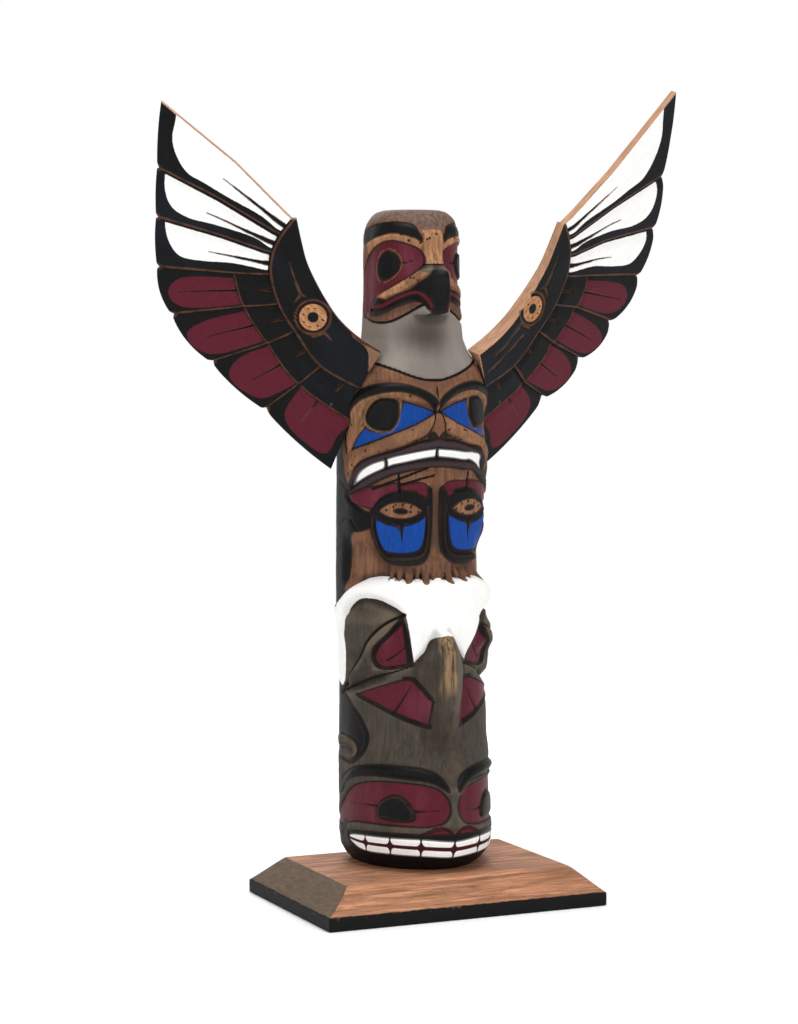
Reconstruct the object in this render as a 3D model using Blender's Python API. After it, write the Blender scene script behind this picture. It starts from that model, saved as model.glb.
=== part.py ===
"""Carved and painted cedar totem pole with a pair of wings, on a bevelled base board.

The pole is one carving: a bird's head on a neck, a bear's face and paws, and a whale with its back fin.
Its front surface is a radius about an upright axis, r(angle, height) = plain section + carving. Heights on
the pole are shares of its own height and depths are shares of its own half width, drawn here in millimetres
of the size as carved (drawn_height, drawn_half_width). Angles are degrees from the centre of the front.
Lengths are in metres elsewhere. +Z is up, -Y is the front, and the origin is the middle of the underside.
"""
import math

import bmesh
import bpy
import numpy as np
from mathutils import Vector

FIT_GAP = 0.0003

BASE_LENGTH = 0.150
BASE_WIDTH = 0.105
BASE_THICKNESS = 0.019
BASE_SIDE_HEIGHT = 0.007
BASE_BEVEL_ENDS = 0.0145
BASE_BEVEL_FRONT = 0.0123
BASE_ARRIS = 0.0005

POLE_HEIGHT = 0.326
POLE_HALF_WIDTH = 0.0375
POLE_AXIS_BACK = 0.015
POLE_BACK_DEPTH = 0.021
POLE_TOP_ROUND_WIDTH = 0.0105
POLE_TOP_ROUND_HEIGHT = 0.015
CARVING_DEPTH = 1.0

WING_LENGTH = 0.0985
WING_HEIGHT = 0.1295
WING_ROOT_HEIGHT = 0.251
WING_ROOT_INSET = 0.0015
WING_SWEEP_DEGREES = 22.0
WING_LEAN_DEGREES = 17.0
WING_ROOT_THICKNESS = 0.0085
WING_TIP_THICKNESS = 0.0038
WING_THINNING_REACH = 0.42
WING_CUT_DEPTH = 0.0011
WING_CUT_WIDTH = 0.0016

POLE_COLUMNS_FRONT = 132
POLE_COLUMNS_BACK = 28
POLE_ROWS = 210
POLE_TRIANGLES = 6700
WING_TRIANGLES = 1250


# Plain helpers on numpy arrays

def ease(value, low, high):
    """0 below low, 1 above high, and a smooth S between them."""
    t = np.clip((value - low) / (high - low), 0.0, 1.0)
    return t * t * (3.0 - 2.0 * t)


def through(knots, value):
    """The value read off a list of (place, size) knots, joined by straight lines."""
    places, sizes = zip(*knots)
    return np.interp(value, places, sizes)


def curve(points, steps=8):
    """A smooth line through a few points: each span is a cubic with the slopes of its neighbours."""
    p = np.array(points, dtype=float)
    ends = np.vstack([2 * p[0] - p[1], p, 2 * p[-1] - p[-2]])
    t = np.linspace(0.0, 1.0, steps, endpoint=False)[:, None]
    spans = []
    for a, b, c, d in zip(ends[:-3], ends[1:-2], ends[2:-1], ends[3:]):
        spans.append(0.5 * (2 * b + (c - a) * t + (2 * a - 5 * b + 4 * c - d) * t ** 2
                            + (3 * b - a - 3 * c + d) * t ** 3))
    return np.vstack(spans + [p[-1:]])


def distance(u, z, line):
    """Distance from every grid place to a line of points."""
    best = np.full(u.shape, 1e9)
    for (ua, za), (ub, zb) in zip(line[:-1], line[1:]):
        du = ub - ua
        dz = zb - za
        t = np.clip(((u - ua) * du + (z - za) * dz) / (du * du + dz * dz + 1e-12), 0.0, 1.0)
        best = np.minimum(best, np.hypot(u - ua - t * du, z - za - t * dz))
    return best


def ovoid(u, z, centre, size, power=2.4, tilt=0.0):
    """About the distance outside a rounded box, less than 0 inside it: (|x/a|^n + |y/b|^n)^(1/n) - 1."""
    c = math.cos(math.radians(tilt))
    s = math.sin(math.radians(tilt))
    x = (u - centre[0]) * c + (z - centre[1]) * s
    y = (z - centre[1]) * c - (u - centre[0]) * s
    reach = (np.abs(x / size[0]) ** power + np.abs(y / size[1]) ** power) ** (1.0 / power)
    return (reach - 1.0) * min(size)


def ridge(gap, half_width, height):
    """A rounded bar: full height on its line, falling as a cosine to nothing at its half width."""
    return height * 0.5 * (1.0 + np.cos(np.pi * np.clip(gap / half_width, 0.0, 1.0)))


def cut(gap, half_width, depth):
    """A knife cut with two flat sides."""
    return -depth * np.clip(1.0 - gap / half_width, 0.0, 1.0)


def plateau(outside, edge, height):
    """A flat raised or sunk area with sloped sides, from its distance outside."""
    return height * ease(-outside, -0.5 * edge, 0.5 * edge)


# The pole's plain section

HALF_WIDTHS = ((0, 30.5), (3, 33.5), (8, 36.5), (15, 37.3), (60, 37.5), (90, 36.8), (145, 37), (200, 36.6),
               (230, 36.6), (240, 36.2), (246, 34.5), (251, 31.5), (256, 27.5), (262, 24.8), (270, 24.0),
               (285, 23.4), (326, 23.2))
FRONT_DEPTHS = ((0, 37), (3, 42), (8, 46.5), (15, 49), (30, 48.5), (40, 47), (51, 43), (63, 36.5), (76, 33.5),
                (92, 33), (110, 34), (130, 33), (140, 30), (145, 26.5), (160, 25.5), (185, 26.5), (196, 27.5),
                (210, 29), (233, 29), (243, 27), (252, 25), (265, 23.8), (280, 23), (326, 22))
FRONT_POWERS = ((0, 1.95), (45, 1.9), (70, 2.0), (190, 2.05), (215, 2.2), (240, 2.1), (255, 2.0), (326, 2.0))
BACK_POWERS = ((0, 3.6), (60, 3.8), (110, 4.2), (128, 6.5), (200, 6.5), (225, 4.5), (250, 3.4), (326, 3.4))


def drawn_height():
    """The height on the pole at which its section ends, as drawn."""
    return HALF_WIDTHS[-1][0]


def drawn_half_width():
    """Half the pole's width where it is widest, as drawn."""
    return max(half_width for height, half_width in HALF_WIDTHS)


def plain_radius(angle, height):
    """Half an ellipse-like curve in front and a flatter one behind: 1/r^n = (sin/a)^n + (cos/b)^n."""
    wide = through(HALF_WIDTHS, height)
    front = through(FRONT_DEPTHS, height)
    power = through(FRONT_POWERS, height)
    squareness = through(BACK_POWERS, height)
    back = POLE_BACK_DEPTH / POLE_HALF_WIDTH * drawn_half_width()
    side = np.abs(np.sin(angle))
    ahead = np.cos(angle)
    behind = np.maximum(-ahead, 0.0)
    fore = ((side / wide) ** power + (np.maximum(ahead, 0.0) / front) ** power) ** (-1.0 / power)
    aft = ((side / wide) ** squareness + (behind / back) ** squareness) ** (-1.0 / squareness)
    return np.where(ahead >= 0.0, fore, aft)


# Carved figures, each in a chart of its own: u = chart radius x angle, z = height on the pole

BIRD_CHART = 24.0
BODY_CHART = 36.0
FIRST_CLAW = 5.4
CLAW_SPACING = 6.6
RIGHT_FLUKE_TURN = 16.0
RIGHT_FLUKE_DROP = 6.0


def place(chart, points):
    """(degrees, height) points as (u, z) points of a chart."""
    return [(chart * math.radians(degrees), height) for degrees, height in points]


def away(chart, u, z, points):
    """Distance from every grid place to a smooth line through (degrees, height) points."""
    return distance(u, z, curve(place(chart, points)))


def bird_head(u, z):
    """Arched brows, sunk eyes with a raised pupil, a nose bridge, a hooked beak and a chin."""
    brow = away(BIRD_CHART, u, z, ((14, 311), (24, 316), (45, 317.5), (70, 317), (95, 310)))
    eye = away(BIRD_CHART, u, z, ((16, 300), (38, 303), (60, 299), (80, 292), (96, 284)))
    cheek = away(BIRD_CHART, u, z, ((4, 299), (16, 294), (34, 288.5), (58, 284.5), (75, 282.5)))
    mouth = away(BIRD_CHART, u, z, ((8, 279), (23, 283), (46, 280.5), (68, 277.5), (88, 279)))
    chin = away(BIRD_CHART, u, z, ((14, 276.5), (36, 274), (54, 271), (72, 270.5), (100, 272.5)))
    ahead = 0.25 + 0.75 * ease(-u, -27.0, -16.0)
    relief = ridge(brow, 5.0, 1.6) * ahead
    relief += plateau(eye - 8.0, 3.0, -1.6)
    relief += plateau(ovoid(u, z, (24.5, 299), (6.2, 7.4), 2.4, -12), 1.6, 1.5)
    relief += ridge(cheek, 3.4, 1.8) * ahead
    relief += cut(mouth, 1.8, 1.4)
    relief += cut(chin, 1.6, 1.2)
    bridge = ease(-u, -6.0, -4.0) * ease(z, 294, 300) * ease(-z, -320, -312)
    relief += 1.6 * bridge
    rise = through(((274, 0), (274.8, 8.2), (279, 9.2), (288, 10.0), (293, 9.4), (296.5, 6.0), (299, 2.0),
                    (308, 0)), z)
    beak = through(((0, 1.0), (3.4, 1.0), (4.4, 0.86), (8.2, 0.2), (11, 0)), u)
    return relief + rise * beak


def bear_face(u, z):
    """Brows over sunk eyes with raised pupils, full cheeks, a nose, and lips round a row of teeth."""
    brow = away(BODY_CHART, u, z, ((1, 231), (12, 235.5), (32, 238.5), (55, 237.5), (74, 232.5), (90, 222)))
    eye = away(BODY_CHART, u, z, ((12, 228.5), (35, 229), (58, 224), (78, 213)))
    cheek = away(BODY_CHART, u, z, ((4, 223), (16, 218.5), (36, 213), (58, 208), (80, 201)))
    upper = away(BODY_CHART, u, z, ((0, 210.2), (20, 209), (38, 206), (56, 203), (72, 198), (84, 190)))
    teeth = away(BODY_CHART, u, z, ((0, 205.8), (30, 204), (48, 201), (65, 196), (78, 190.5)))
    lower = away(BODY_CHART, u, z, ((0, 200.4), (36, 198.5), (55, 195), (70, 190), (82, 185)))
    neckline = away(BODY_CHART, u, z, ((0, 242), (20, 243.5), (45, 247.5), (70, 251)))
    relief = cut(neckline, 1.6, 1.2)
    relief += ridge(brow, 4.2, 2.0)
    relief += plateau(eye - 5.6, 3.0, -1.6)
    relief += plateau(ovoid(u, z, (33.5, 225), (9.0, 7.2), 2.3, -8), 2.0, 1.8)
    relief += ridge(cheek, 5.0, 2.0)
    relief += 1.2 * ease(-u, -7.0, -2.0) * ease(z, 208, 213) * ease(-z, -226, -219)
    relief += ridge(upper, 3.0, 2.0)
    relief += plateau(teeth - 2.4, 1.4, -1.0)
    relief += ridge(lower, 2.6, 1.8)
    return relief


def bear_paws(u, z):
    """Two raised paws with bent wrists on the belly, and a row of claws below them."""
    paw = ovoid(u, z, (22.5, 169), (16.5, 17.0), 2.6)
    wrist = away(BODY_CHART, u, z, ((98, 176), (80, 178), (64, 172), (56, 160)))
    eye = ovoid(u, z, (22.5, 178), (13.5, 6.6), 2.0)
    palm = ovoid(u, z, (21.5, 164), (11.5, 9.5), 3.0)
    relief = plateau(paw, 3.0, 2.0)
    relief += cut(np.abs(paw), 1.5, 1.0)
    relief += cut(wrist, 3.5, 1.6)
    relief += plateau(eye, 2.0, 0.8)
    relief += plateau(palm, 2.0, 0.6)
    belly = ease(z, 140, 146) * ease(-z, -168, -154)
    relief -= 3.0 * belly * ease(u, 26, 38) * ease(-u, -62, -54)
    claw = through(((140.5, 0.8), (142.5, 2.0), (146, 2.7), (151, 3.1), (156, 2.6)), z)
    aside = np.abs(np.mod(u - FIRST_CLAW + 0.5 * CLAW_SPACING, CLAW_SPACING) - 0.5 * CLAW_SPACING)
    feet = ease(z, 140.5, 143) * ease(-z, -157, -150) * ease(-u, -30, -27)
    return relief + feet * (1.0 + 2.6 * np.clip(1.0 - (aside / claw) ** 2, 0.0, 1.0))


def whale_back(u, z):
    """A snowy ledge, the raised flukes with their notches, and the upright fin."""
    ledge = place(BODY_CHART, ((0, 140), (24, 141), (38, 143), (52, 144.5), (69, 143), (85, 137),
                               (105, 128.5)))
    ledge_line = through(ledge, u)
    fluke = away(BODY_CHART, u, z, ((90, 119), (86, 127.5), (70, 133.5), (56, 133), (41, 129.5), (32, 126)))
    rib = away(BODY_CHART, u, z, ((33, 125), (49, 122), (62, 115.5), (75, 106), (88, 93)))
    waist = away(BODY_CHART, u, z, ((88, 89), (74, 90.5), (58, 94), (25, 101)))
    side = ease(u, 22, 30) * ease(-u, -60, -52)
    relief = 2.6 * ease(ledge_line - z, -1.0, 1.5) * ease(z - ledge_line, -12, -3)
    relief += cut(fluke, 3.2, 3.0) * ease(u, 18, 26)
    relief += side * 2.6 * ease(z, 104, 114) * ease(-z, -130, -122)
    relief += cut(waist, 4.5, 3.0) * ease(u, 24, 34)
    relief += ridge(rib, 3.4, 1.4)
    relief += plateau(ovoid(u, z, (27.0, 110), (8.5, 11.0), 2.2, 32), 6.0, -2.2)
    rise = through(((60, 0), (66, 3.0), (72, 7.0), (80, 10.5), (88, 12.4), (98, 12.6), (108, 11.4),
                    (114, 9.6), (117, 6.0), (118.5, 0)), z)
    flank = through(((56, 9.0), (72, 12.5), (84, 14.0), (98, 14.0), (106, 11.5), (113, 7.0), (118, 4.5)), z)
    fin = rise * np.clip((flank - u) / (flank - 2.4), 0.0, 1.0)
    return relief + fin


def whale_face(u, z):
    """Long brows, wide eyes with a flat-bottomed pupil, a blunt snout and two rows of teeth."""
    brow = away(BODY_CHART, u, z, ((4, 41), (14, 46.5), (30, 48.5), (54, 49), (78, 45.5), (98, 36.5)))
    eye = ovoid(u, z, (32.5, 32), (30.0, 9.6), 2.8)
    pupil = ovoid(u, z, (24.0, 31), (9.6, 6.6), 2.6)
    teeth = ovoid(u, z, (0.0, 12.0), (58.0, 5.0), 6.0)
    parting = distance(u, z, [(0.0, 12.0), (56.0, 13.0)])
    relief = ridge(brow, 3.6, 1.6)
    relief += plateau(eye, 2.6, -1.1)
    relief += plateau(pupil, 1.8, 1.0)
    relief += plateau(teeth, 2.0, 1.0)
    relief += cut(parting, 1.2, 0.9)
    relief += 1.0 * ease(-u, -7.0, -2.0) * ease(z, 18, 24) * ease(-z, -46, -38)
    return relief


def right_fluke_shift(angle, height):
    """How far the right fluke is carved out of true: (degrees nearer the side, millimetres lower)."""
    degrees = np.degrees(angle)
    turn = ease(degrees, 5, 40) * ease(-degrees, -80, -50)
    turn *= ease(height, 100, 122) * ease(-height, -141, -131)
    drop = ease(degrees, 38, 56) * ease(-degrees, -100, -80)
    drop *= ease(height, 104, 122) * ease(-height, -148, -134)
    return RIGHT_FLUKE_TURN * turn, RIGHT_FLUKE_DROP * drop


def carved_radius(angle, height):
    """Plain section plus the carving, in millimetres as drawn; the halves mirror but for the right fluke."""
    turn = np.abs(angle)
    front = ease(-turn, -math.radians(112), -math.radians(96))
    u_bird = BIRD_CHART * turn
    u_body = BODY_CHART * turn
    bird = bird_head(u_bird, height) * ease(height, 262, 266)
    right = np.where(angle > math.pi, angle - 2.0 * math.pi, angle)
    shift, drop = right_fluke_shift(right, height)
    whale = whale_back(u_body - BODY_CHART * np.radians(shift), height + drop)
    body = bear_face(u_body, height) + bear_paws(u_body, height) + whale + whale_face(u_body, height)
    body *= ease(-height, -262, -256)
    return plain_radius(angle, height) + CARVING_DEPTH * front * (bird + body)


def front_heavy_angles():
    """Angles all the way round, closer together over the carved front than over the plain back."""
    edge = math.radians(100)
    front = np.linspace(-edge, edge, POLE_COLUMNS_FRONT)
    back = np.linspace(edge, 2.0 * math.pi - edge, POLE_COLUMNS_BACK + 2)[1:-1]
    return np.concatenate([front, back])


def grid_faces(rows, columns, wrap):
    """Quads of a grid whose rows run upwards and whose columns run to the left seen from outside."""
    across = columns if wrap else columns - 1
    row, column = np.mgrid[0:rows - 1, 0:across]
    right = (column + 1) % columns
    low = row * columns
    high = low + columns
    return np.stack([low + column, low + right, high + right, high + column], axis=-1).reshape(-1, 4)


def pole_grid(columns_angle, rows_height):
    """Points of the pole's skin in metres, one row for each height as drawn."""
    angle, height = np.meshgrid(columns_angle, rows_height)
    radius = carved_radius(angle, height)
    across = POLE_HALF_WIDTH / drawn_half_width()
    crown = POLE_TOP_ROUND_HEIGHT / POLE_HEIGHT * drawn_height()
    rise = np.clip((height - (drawn_height() - crown)) / crown, 0.0, 0.999)
    radius = radius - POLE_TOP_ROUND_WIDTH / across * (1.0 - np.sqrt(1.0 - rise ** 2))
    x = radius * np.sin(angle) * across
    y = POLE_AXIS_BACK - radius * np.cos(angle) * across
    z = BASE_THICKNESS + FIT_GAP + height * POLE_HEIGHT / drawn_height()
    return np.stack([x, y, z], axis=-1)


def mesh_object(name, points, faces, material):
    """A new object at the origin from arrays of points and faces."""
    mesh = bpy.data.meshes.new(name)
    mesh.from_pydata([tuple(p) for p in points], [], [tuple(int(i) for i in f) for f in faces])
    mesh.materials.append(material)
    result = bpy.data.objects.new(name, mesh)
    bpy.context.scene.collection.objects.link(result)
    return result


def pole_mesh(name, material):
    """The whole skin of the pole, closed by a fan at the foot and another at the top."""
    angles = front_heavy_angles()
    heights = np.linspace(0.0, drawn_height(), POLE_ROWS)
    grid = pole_grid(angles, heights)
    rows, columns = grid.shape[:2]
    foot = np.array([[0.0, POLE_AXIS_BACK, grid[0, 0, 2]]])
    top = np.array([[0.0, POLE_AXIS_BACK, grid[-1, 0, 2]]])
    points = np.vstack([grid.reshape(-1, 3), foot, top])
    faces = [tuple(f) for f in grid_faces(rows, columns, True)]
    first_of_top = (rows - 1) * columns
    for column in range(columns):
        after = (column + 1) % columns
        faces.append((after, column, rows * columns))
        faces.append((first_of_top + column, first_of_top + after, rows * columns + 1))
    return mesh_object(name, points, faces, material)


def thin_out(body, triangles):
    """Drops triangles where the surface is flat, down to about the number asked for."""
    body.data.calc_loop_triangles()
    modifier = body.modifiers.new("thin_out", "DECIMATE")
    modifier.ratio = min(1.0, triangles / len(body.data.loop_triangles))
    modifier.use_collapse_triangulate = True


# Wings: a fan of seven feathers under an arm, drawn flat as (along, up) in millimetres from the shoulder

ARM_INNER = ((31, 72), (28.5, 60), (26, 50), (22, 40.5), (16.5, 30), (10, 20), (1, 11), (-10, 3.5))
ARM_OUTER = ((33, 72), (39, 64), (43, 55), (44, 44), (40, 29), (32, 15), (19, -3), (-5, -17))
COVERT_EDGE = ((60, 100), (68, 82), (68, 64), (62, 45), (57, 28), (45.5, 9), (30, -12), (3, -32))
LEFT_ENDS = ((95, 129.5), (97.5, 98), (98.5, 73.5), (98.5, 48.5), (92, 24.5), (73, 0), (46.5, -25), (14, -56))
LEFT_BOWS = ((97.5, 114), (99, 86), (100, 61.5), (99.5, 35), (86.5, 9), (62, -15), (32, -42.5))
RIGHT_ENDS = ((95.5, 143.5), (101.5, 100.5), (105, 72.5), (102, 46.5), (88.5, 21), (70.5, 0.5), (48, -20.5),
              (14, -55))
RIGHT_BOWS = ((101, 123.5), (108, 85.5), (108.5, 58.5), (104.5, 30), (87.5, 5), (66, -16), (35, -40))
FEATHER_SHARES = (0.0, 0.07, 0.3, 0.55, 0.8, 0.93)
FIRST_COVERT = 3
NOTCH = 1.6


def drawn_wing():
    """How far out and how far up the feathers' corners reach from the shoulder, as drawn."""
    return np.max(np.array(LEFT_ENDS, dtype=float), axis=0)


def fan_line(knots, place_in_fan):
    """A smooth line through one knot for each edge between feathers, read at places 0 to 7."""
    steps = 16
    line = curve(knots, steps)
    at = np.linspace(0.0, len(knots) - 1.0, len(line))
    return np.stack([np.interp(place_in_fan, at, line[:, i]) for i in (0, 1)], axis=-1)


def feather_tips(place_in_fan, ends, bows):
    """The outer outline: a bow from corner to corner, drawn in to a small notch between two feathers."""
    corners = np.array(ends, dtype=float)
    feather = np.minimum(place_in_fan.astype(int), len(bows) - 1)
    share = (place_in_fan - feather)[:, None]
    bow = np.array(bows, dtype=float)[feather]
    out = bow - np.array([30.0, 30.0])
    last = len(bows) - 1
    first_end = (feather[:, None] > 0) * (1.0 - ease(share, 0.0, 0.07))
    last_end = (feather[:, None] < last) * ease(share, 0.93, 1.0)
    inset = NOTCH * out / np.linalg.norm(out, axis=1)[:, None] * (first_end + last_end)
    start = corners[feather]
    stop = corners[feather + 1]
    return (1 - share) ** 2 * start + 2 * share * (1 - share) * bow + share ** 2 * stop - inset


def wing_rows():
    """Row places: 0 at the arm's inner edge, 1 at its outer edge, 2 at the coverts' edge, 3 at the tips."""
    side = WING_CUT_WIDTH / 2.0 / 0.022
    cuts = [line + step for line in (1.0, 2.0) for step in (-side, 0.0, side)]
    return np.sort(np.array([0.0, 0.5, 1.5, 2.35, 2.7, 2.9, 3.0] + cuts))


def wing_flat_grid(ends, bows):
    """(along, up) in metres of every grid place, and the depth of the cuts there."""
    feathers = len(bows)
    columns = np.array([f + s for f in range(feathers) for s in FEATHER_SHARES] + [float(feathers)])
    rows = wing_rows()
    lines = np.stack([fan_line(ARM_INNER, columns), fan_line(ARM_OUTER, columns),
                      fan_line(COVERT_EDGE, columns), feather_tips(columns, ends, bows)])
    span = np.minimum(rows.astype(int), 2)
    share = (rows - span)[:, None, None]
    flat = lines[span] * (1.0 - share) + lines[span + 1] * share
    scale = np.array([WING_LENGTH, WING_HEIGHT]) / drawn_wing()
    on_edge = (np.abs(columns - np.round(columns)) < 1e-6) & (columns > 0) & (columns < feathers)
    between = on_edge[None, :] & (rows[:, None] >= 1.0)
    along_arm = np.broadcast_to(np.abs(rows - 1.0)[:, None] < 1e-6, between.shape)
    coverts = (np.abs(rows - 2.0)[:, None] < 1e-6) & (columns[None, :] >= FIRST_COVERT)
    depth = np.where(between | along_arm | coverts, WING_CUT_DEPTH, 0.0)
    return flat * scale, depth


def wing_frame(side):
    """Shoulder point, outward and upward directions in the board, and the way its front faces."""
    sweep = math.radians(WING_SWEEP_DEGREES)
    lean = math.radians(WING_LEAN_DEGREES)
    out = np.array([side * math.cos(sweep), math.sin(sweep), 0.0])
    behind = np.array([-side * math.sin(sweep), math.cos(sweep), 0.0])
    up = np.array([0.0, 0.0, math.cos(lean)]) - behind * math.sin(lean)
    face = -(behind * math.cos(lean) + np.array([0.0, 0.0, math.sin(lean)]))
    shoulder = np.array([side * (POLE_HALF_WIDTH - WING_ROOT_INSET), 0.0, BASE_THICKNESS + WING_ROOT_HEIGHT])
    return shoulder, out, up, face


def wing_mesh(name, side, outline, material):
    """A board of two grids, cut in front and flat behind, joined all round their rim."""
    flat, depth = wing_flat_grid(*outline)
    shoulder, out, up, face = wing_frame(side)
    rows, columns = depth.shape
    inward = 1.0 - ease(flat[..., 0], 0.0, WING_THINNING_REACH * WING_LENGTH)
    thick = WING_TIP_THICKNESS + (WING_ROOT_THICKNESS - WING_TIP_THICKNESS) * inward
    board = shoulder + flat[..., :1] * out + flat[..., 1:] * up
    front = board - depth[..., None] * face
    back = board - thick[..., None] * face
    points = np.vstack([front.reshape(-1, 3), back.reshape(-1, 3)])
    quads = grid_faces(rows, columns, False)
    behind = quads[:, ::-1] + rows * columns
    index = np.arange(rows * columns).reshape(rows, columns)
    rim = np.concatenate([index[0, :], index[1:, -1], index[-1, -2::-1], index[-2:0:-1, 0]])
    following = np.roll(rim, -1)
    wall = np.stack([following, rim, rim + rows * columns, following + rows * columns], axis=-1)
    faces = np.vstack([quads, behind, wall])
    wing = mesh_object(name, points, faces, material)
    work = bmesh.new()
    work.from_mesh(wing.data)
    bmesh.ops.recalc_face_normals(work, faces=work.faces)
    work.to_mesh(wing.data)
    work.free()
    return wing


def grown_copy(body, name, growth):
    """A hidden guide: the pole's skin moved outwards by a clearance, for cutting the wings' roots to fit."""
    graph = bpy.context.evaluated_depsgraph_get()
    mesh = bpy.data.meshes.new_from_object(body.evaluated_get(graph))
    guide = bpy.data.objects.new(name, mesh)
    bpy.context.scene.collection.objects.link(guide)
    normals = np.array([v.normal[:] for v in mesh.vertices])
    points = np.array([v.co[:] for v in mesh.vertices]) + growth * normals
    mesh.vertices.foreach_set("co", points.ravel())
    guide.hide_render = True
    guide.display_type = "WIRE"
    return guide


def base_board(material):
    """A flat board with upright sides and a wide bevel up to the level place where the pole stands."""
    half = Vector((BASE_LENGTH / 2.0, BASE_WIDTH / 2.0))
    level = Vector((half.x - BASE_BEVEL_ENDS, half.y - BASE_BEVEL_FRONT))
    rings = ((half, 0.0), (half, BASE_SIDE_HEIGHT), (level, BASE_THICKNESS))
    work = bmesh.new()
    loops = []
    for corner, height in rings:
        signs = ((-1, -1), (1, -1), (1, 1), (-1, 1))
        loops.append([work.verts.new((sx * corner.x, sy * corner.y, height)) for sx, sy in signs])
    work.faces.new(loops[0][::-1])
    work.faces.new(loops[-1])
    for lower, upper in zip(loops[:-1], loops[1:]):
        for i in range(4):
            j = (i + 1) % 4
            work.faces.new((lower[i], lower[j], upper[j], upper[i]))
    mesh = bpy.data.meshes.new("base_board")
    work.to_mesh(mesh)
    work.free()
    mesh.materials.append(material)
    board = bpy.data.objects.new("base_board", mesh)
    bpy.context.scene.collection.objects.link(board)
    arris = board.modifiers.new("arris", "BEVEL")
    arris.width = BASE_ARRIS
    arris.segments = 1
    return board


def wood(name, colour, roughness):
    """A plain Principled material in the finish's main colour."""
    material = bpy.data.materials.new(name)
    material.use_nodes = True
    shader = material.node_tree.nodes["Principled BSDF"]
    shader.inputs["Base Color"].default_value = (*colour, 1.0)
    shader.inputs["Roughness"].default_value = roughness
    shader.inputs["Metallic"].default_value = 0.0
    return material


def build():
    for leftover in list(bpy.data.objects):
        bpy.data.objects.remove(leftover, do_unlink=True)
    base_board(wood("oiled_cedar", (0.30, 0.13, 0.06), 0.55))
    pole = pole_mesh("carved_pole", wood("stained_cedar", (0.18, 0.08, 0.035), 0.6))
    thin_out(pole, POLE_TRIANGLES)
    bpy.context.view_layer.update()
    guide = grown_copy(pole, "root_guide", FIT_GAP)
    outlines = {"left_wing": (-1.0, (LEFT_ENDS, LEFT_BOWS)), "right_wing": (1.0, (RIGHT_ENDS, RIGHT_BOWS))}
    for name, (side, outline) in outlines.items():
        wing = wing_mesh(name, side, outline, wood(name + "_paint", (0.02, 0.025, 0.028), 0.5))
        thin_out(wing, WING_TRIANGLES)
        fit = wing.modifiers.new("fit_to_pole", "BOOLEAN")
        fit.operation = "DIFFERENCE"
        fit.solver = "EXACT"
        fit.object = guide


build()
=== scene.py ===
"""Carved and painted totem pole with wings on a base board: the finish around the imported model.

The pole is a height field about an upright axis, r(angle, height) = plain section + forms + cut outlines.
The same outlines carry the paint: each coat is stored as a signed distance in millimetres, more than 0 inside
the coat, so its edge stays sharp between the mesh's points. Each wing is a fan of feathers, drawn flat and
stood on its board. Angles are degrees from the centre of the front and heights are millimetres on the pole as
drawn. Lengths are metres elsewhere. +Z is up and -Y is the front.
"""

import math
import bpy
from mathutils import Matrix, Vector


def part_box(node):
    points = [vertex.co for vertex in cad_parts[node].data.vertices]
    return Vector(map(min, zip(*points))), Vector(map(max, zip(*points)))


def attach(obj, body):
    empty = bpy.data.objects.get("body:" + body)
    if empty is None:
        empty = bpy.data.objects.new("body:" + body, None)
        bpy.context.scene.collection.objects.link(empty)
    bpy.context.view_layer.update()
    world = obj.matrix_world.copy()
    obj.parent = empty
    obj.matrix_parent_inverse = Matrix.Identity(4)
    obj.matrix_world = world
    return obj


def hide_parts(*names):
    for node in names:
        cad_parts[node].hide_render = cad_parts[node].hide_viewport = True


bl_info = {
    "name": "Carved Totem Pole",
    "version": (1, 0, 0),
    "blender": (4, 5, 0),
    "location": "3D View > Sidebar > Totem Pole",
    "description": "Builds the painted cedar carving, its wings and its base board, with a plain studio",
    "category": "Add Mesh",
}

import bpy
import numpy as np
from bpy.props import FloatProperty, FloatVectorProperty, IntProperty, PointerProperty
from mathutils import Vector

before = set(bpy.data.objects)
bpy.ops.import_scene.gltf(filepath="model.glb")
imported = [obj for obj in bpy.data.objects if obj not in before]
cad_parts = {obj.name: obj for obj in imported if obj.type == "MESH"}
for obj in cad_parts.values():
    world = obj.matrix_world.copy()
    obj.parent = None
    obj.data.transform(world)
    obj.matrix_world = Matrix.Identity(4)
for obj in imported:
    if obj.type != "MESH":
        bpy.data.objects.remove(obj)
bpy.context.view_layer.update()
POLE_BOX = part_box("carved_pole")
BASE_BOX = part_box("base_board")
MM = 0.001

# In millimetres: how far outlines are followed, and the size of the pole's mesh cells
FAR = 6.0
MESH_CELL = 0.7


# Plain helpers

def linear(red, green, blue):
    """A colour given as it shows on a screen, 0 to 255, in the linear light that shaders use."""
    shares = np.array([red, green, blue]) / 255.0
    return tuple(float(v) for v in np.where(shares <= 0.04045, shares / 12.92,
                                            ((shares + 0.055) / 1.055) ** 2.4))


def ease(value, low, high):
    """0 below low, 1 above high, and the smooth S 3t^2 - 2t^3 between them."""
    t = np.clip((value - low) / (high - low), 0.0, 1.0)
    return t * t * (3.0 - 2.0 * t)


def through(knots, value):
    """The value read off a list of (place, size) knots, joined by straight lines."""
    places, sizes = zip(*knots)
    return np.interp(value, places, sizes)


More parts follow.
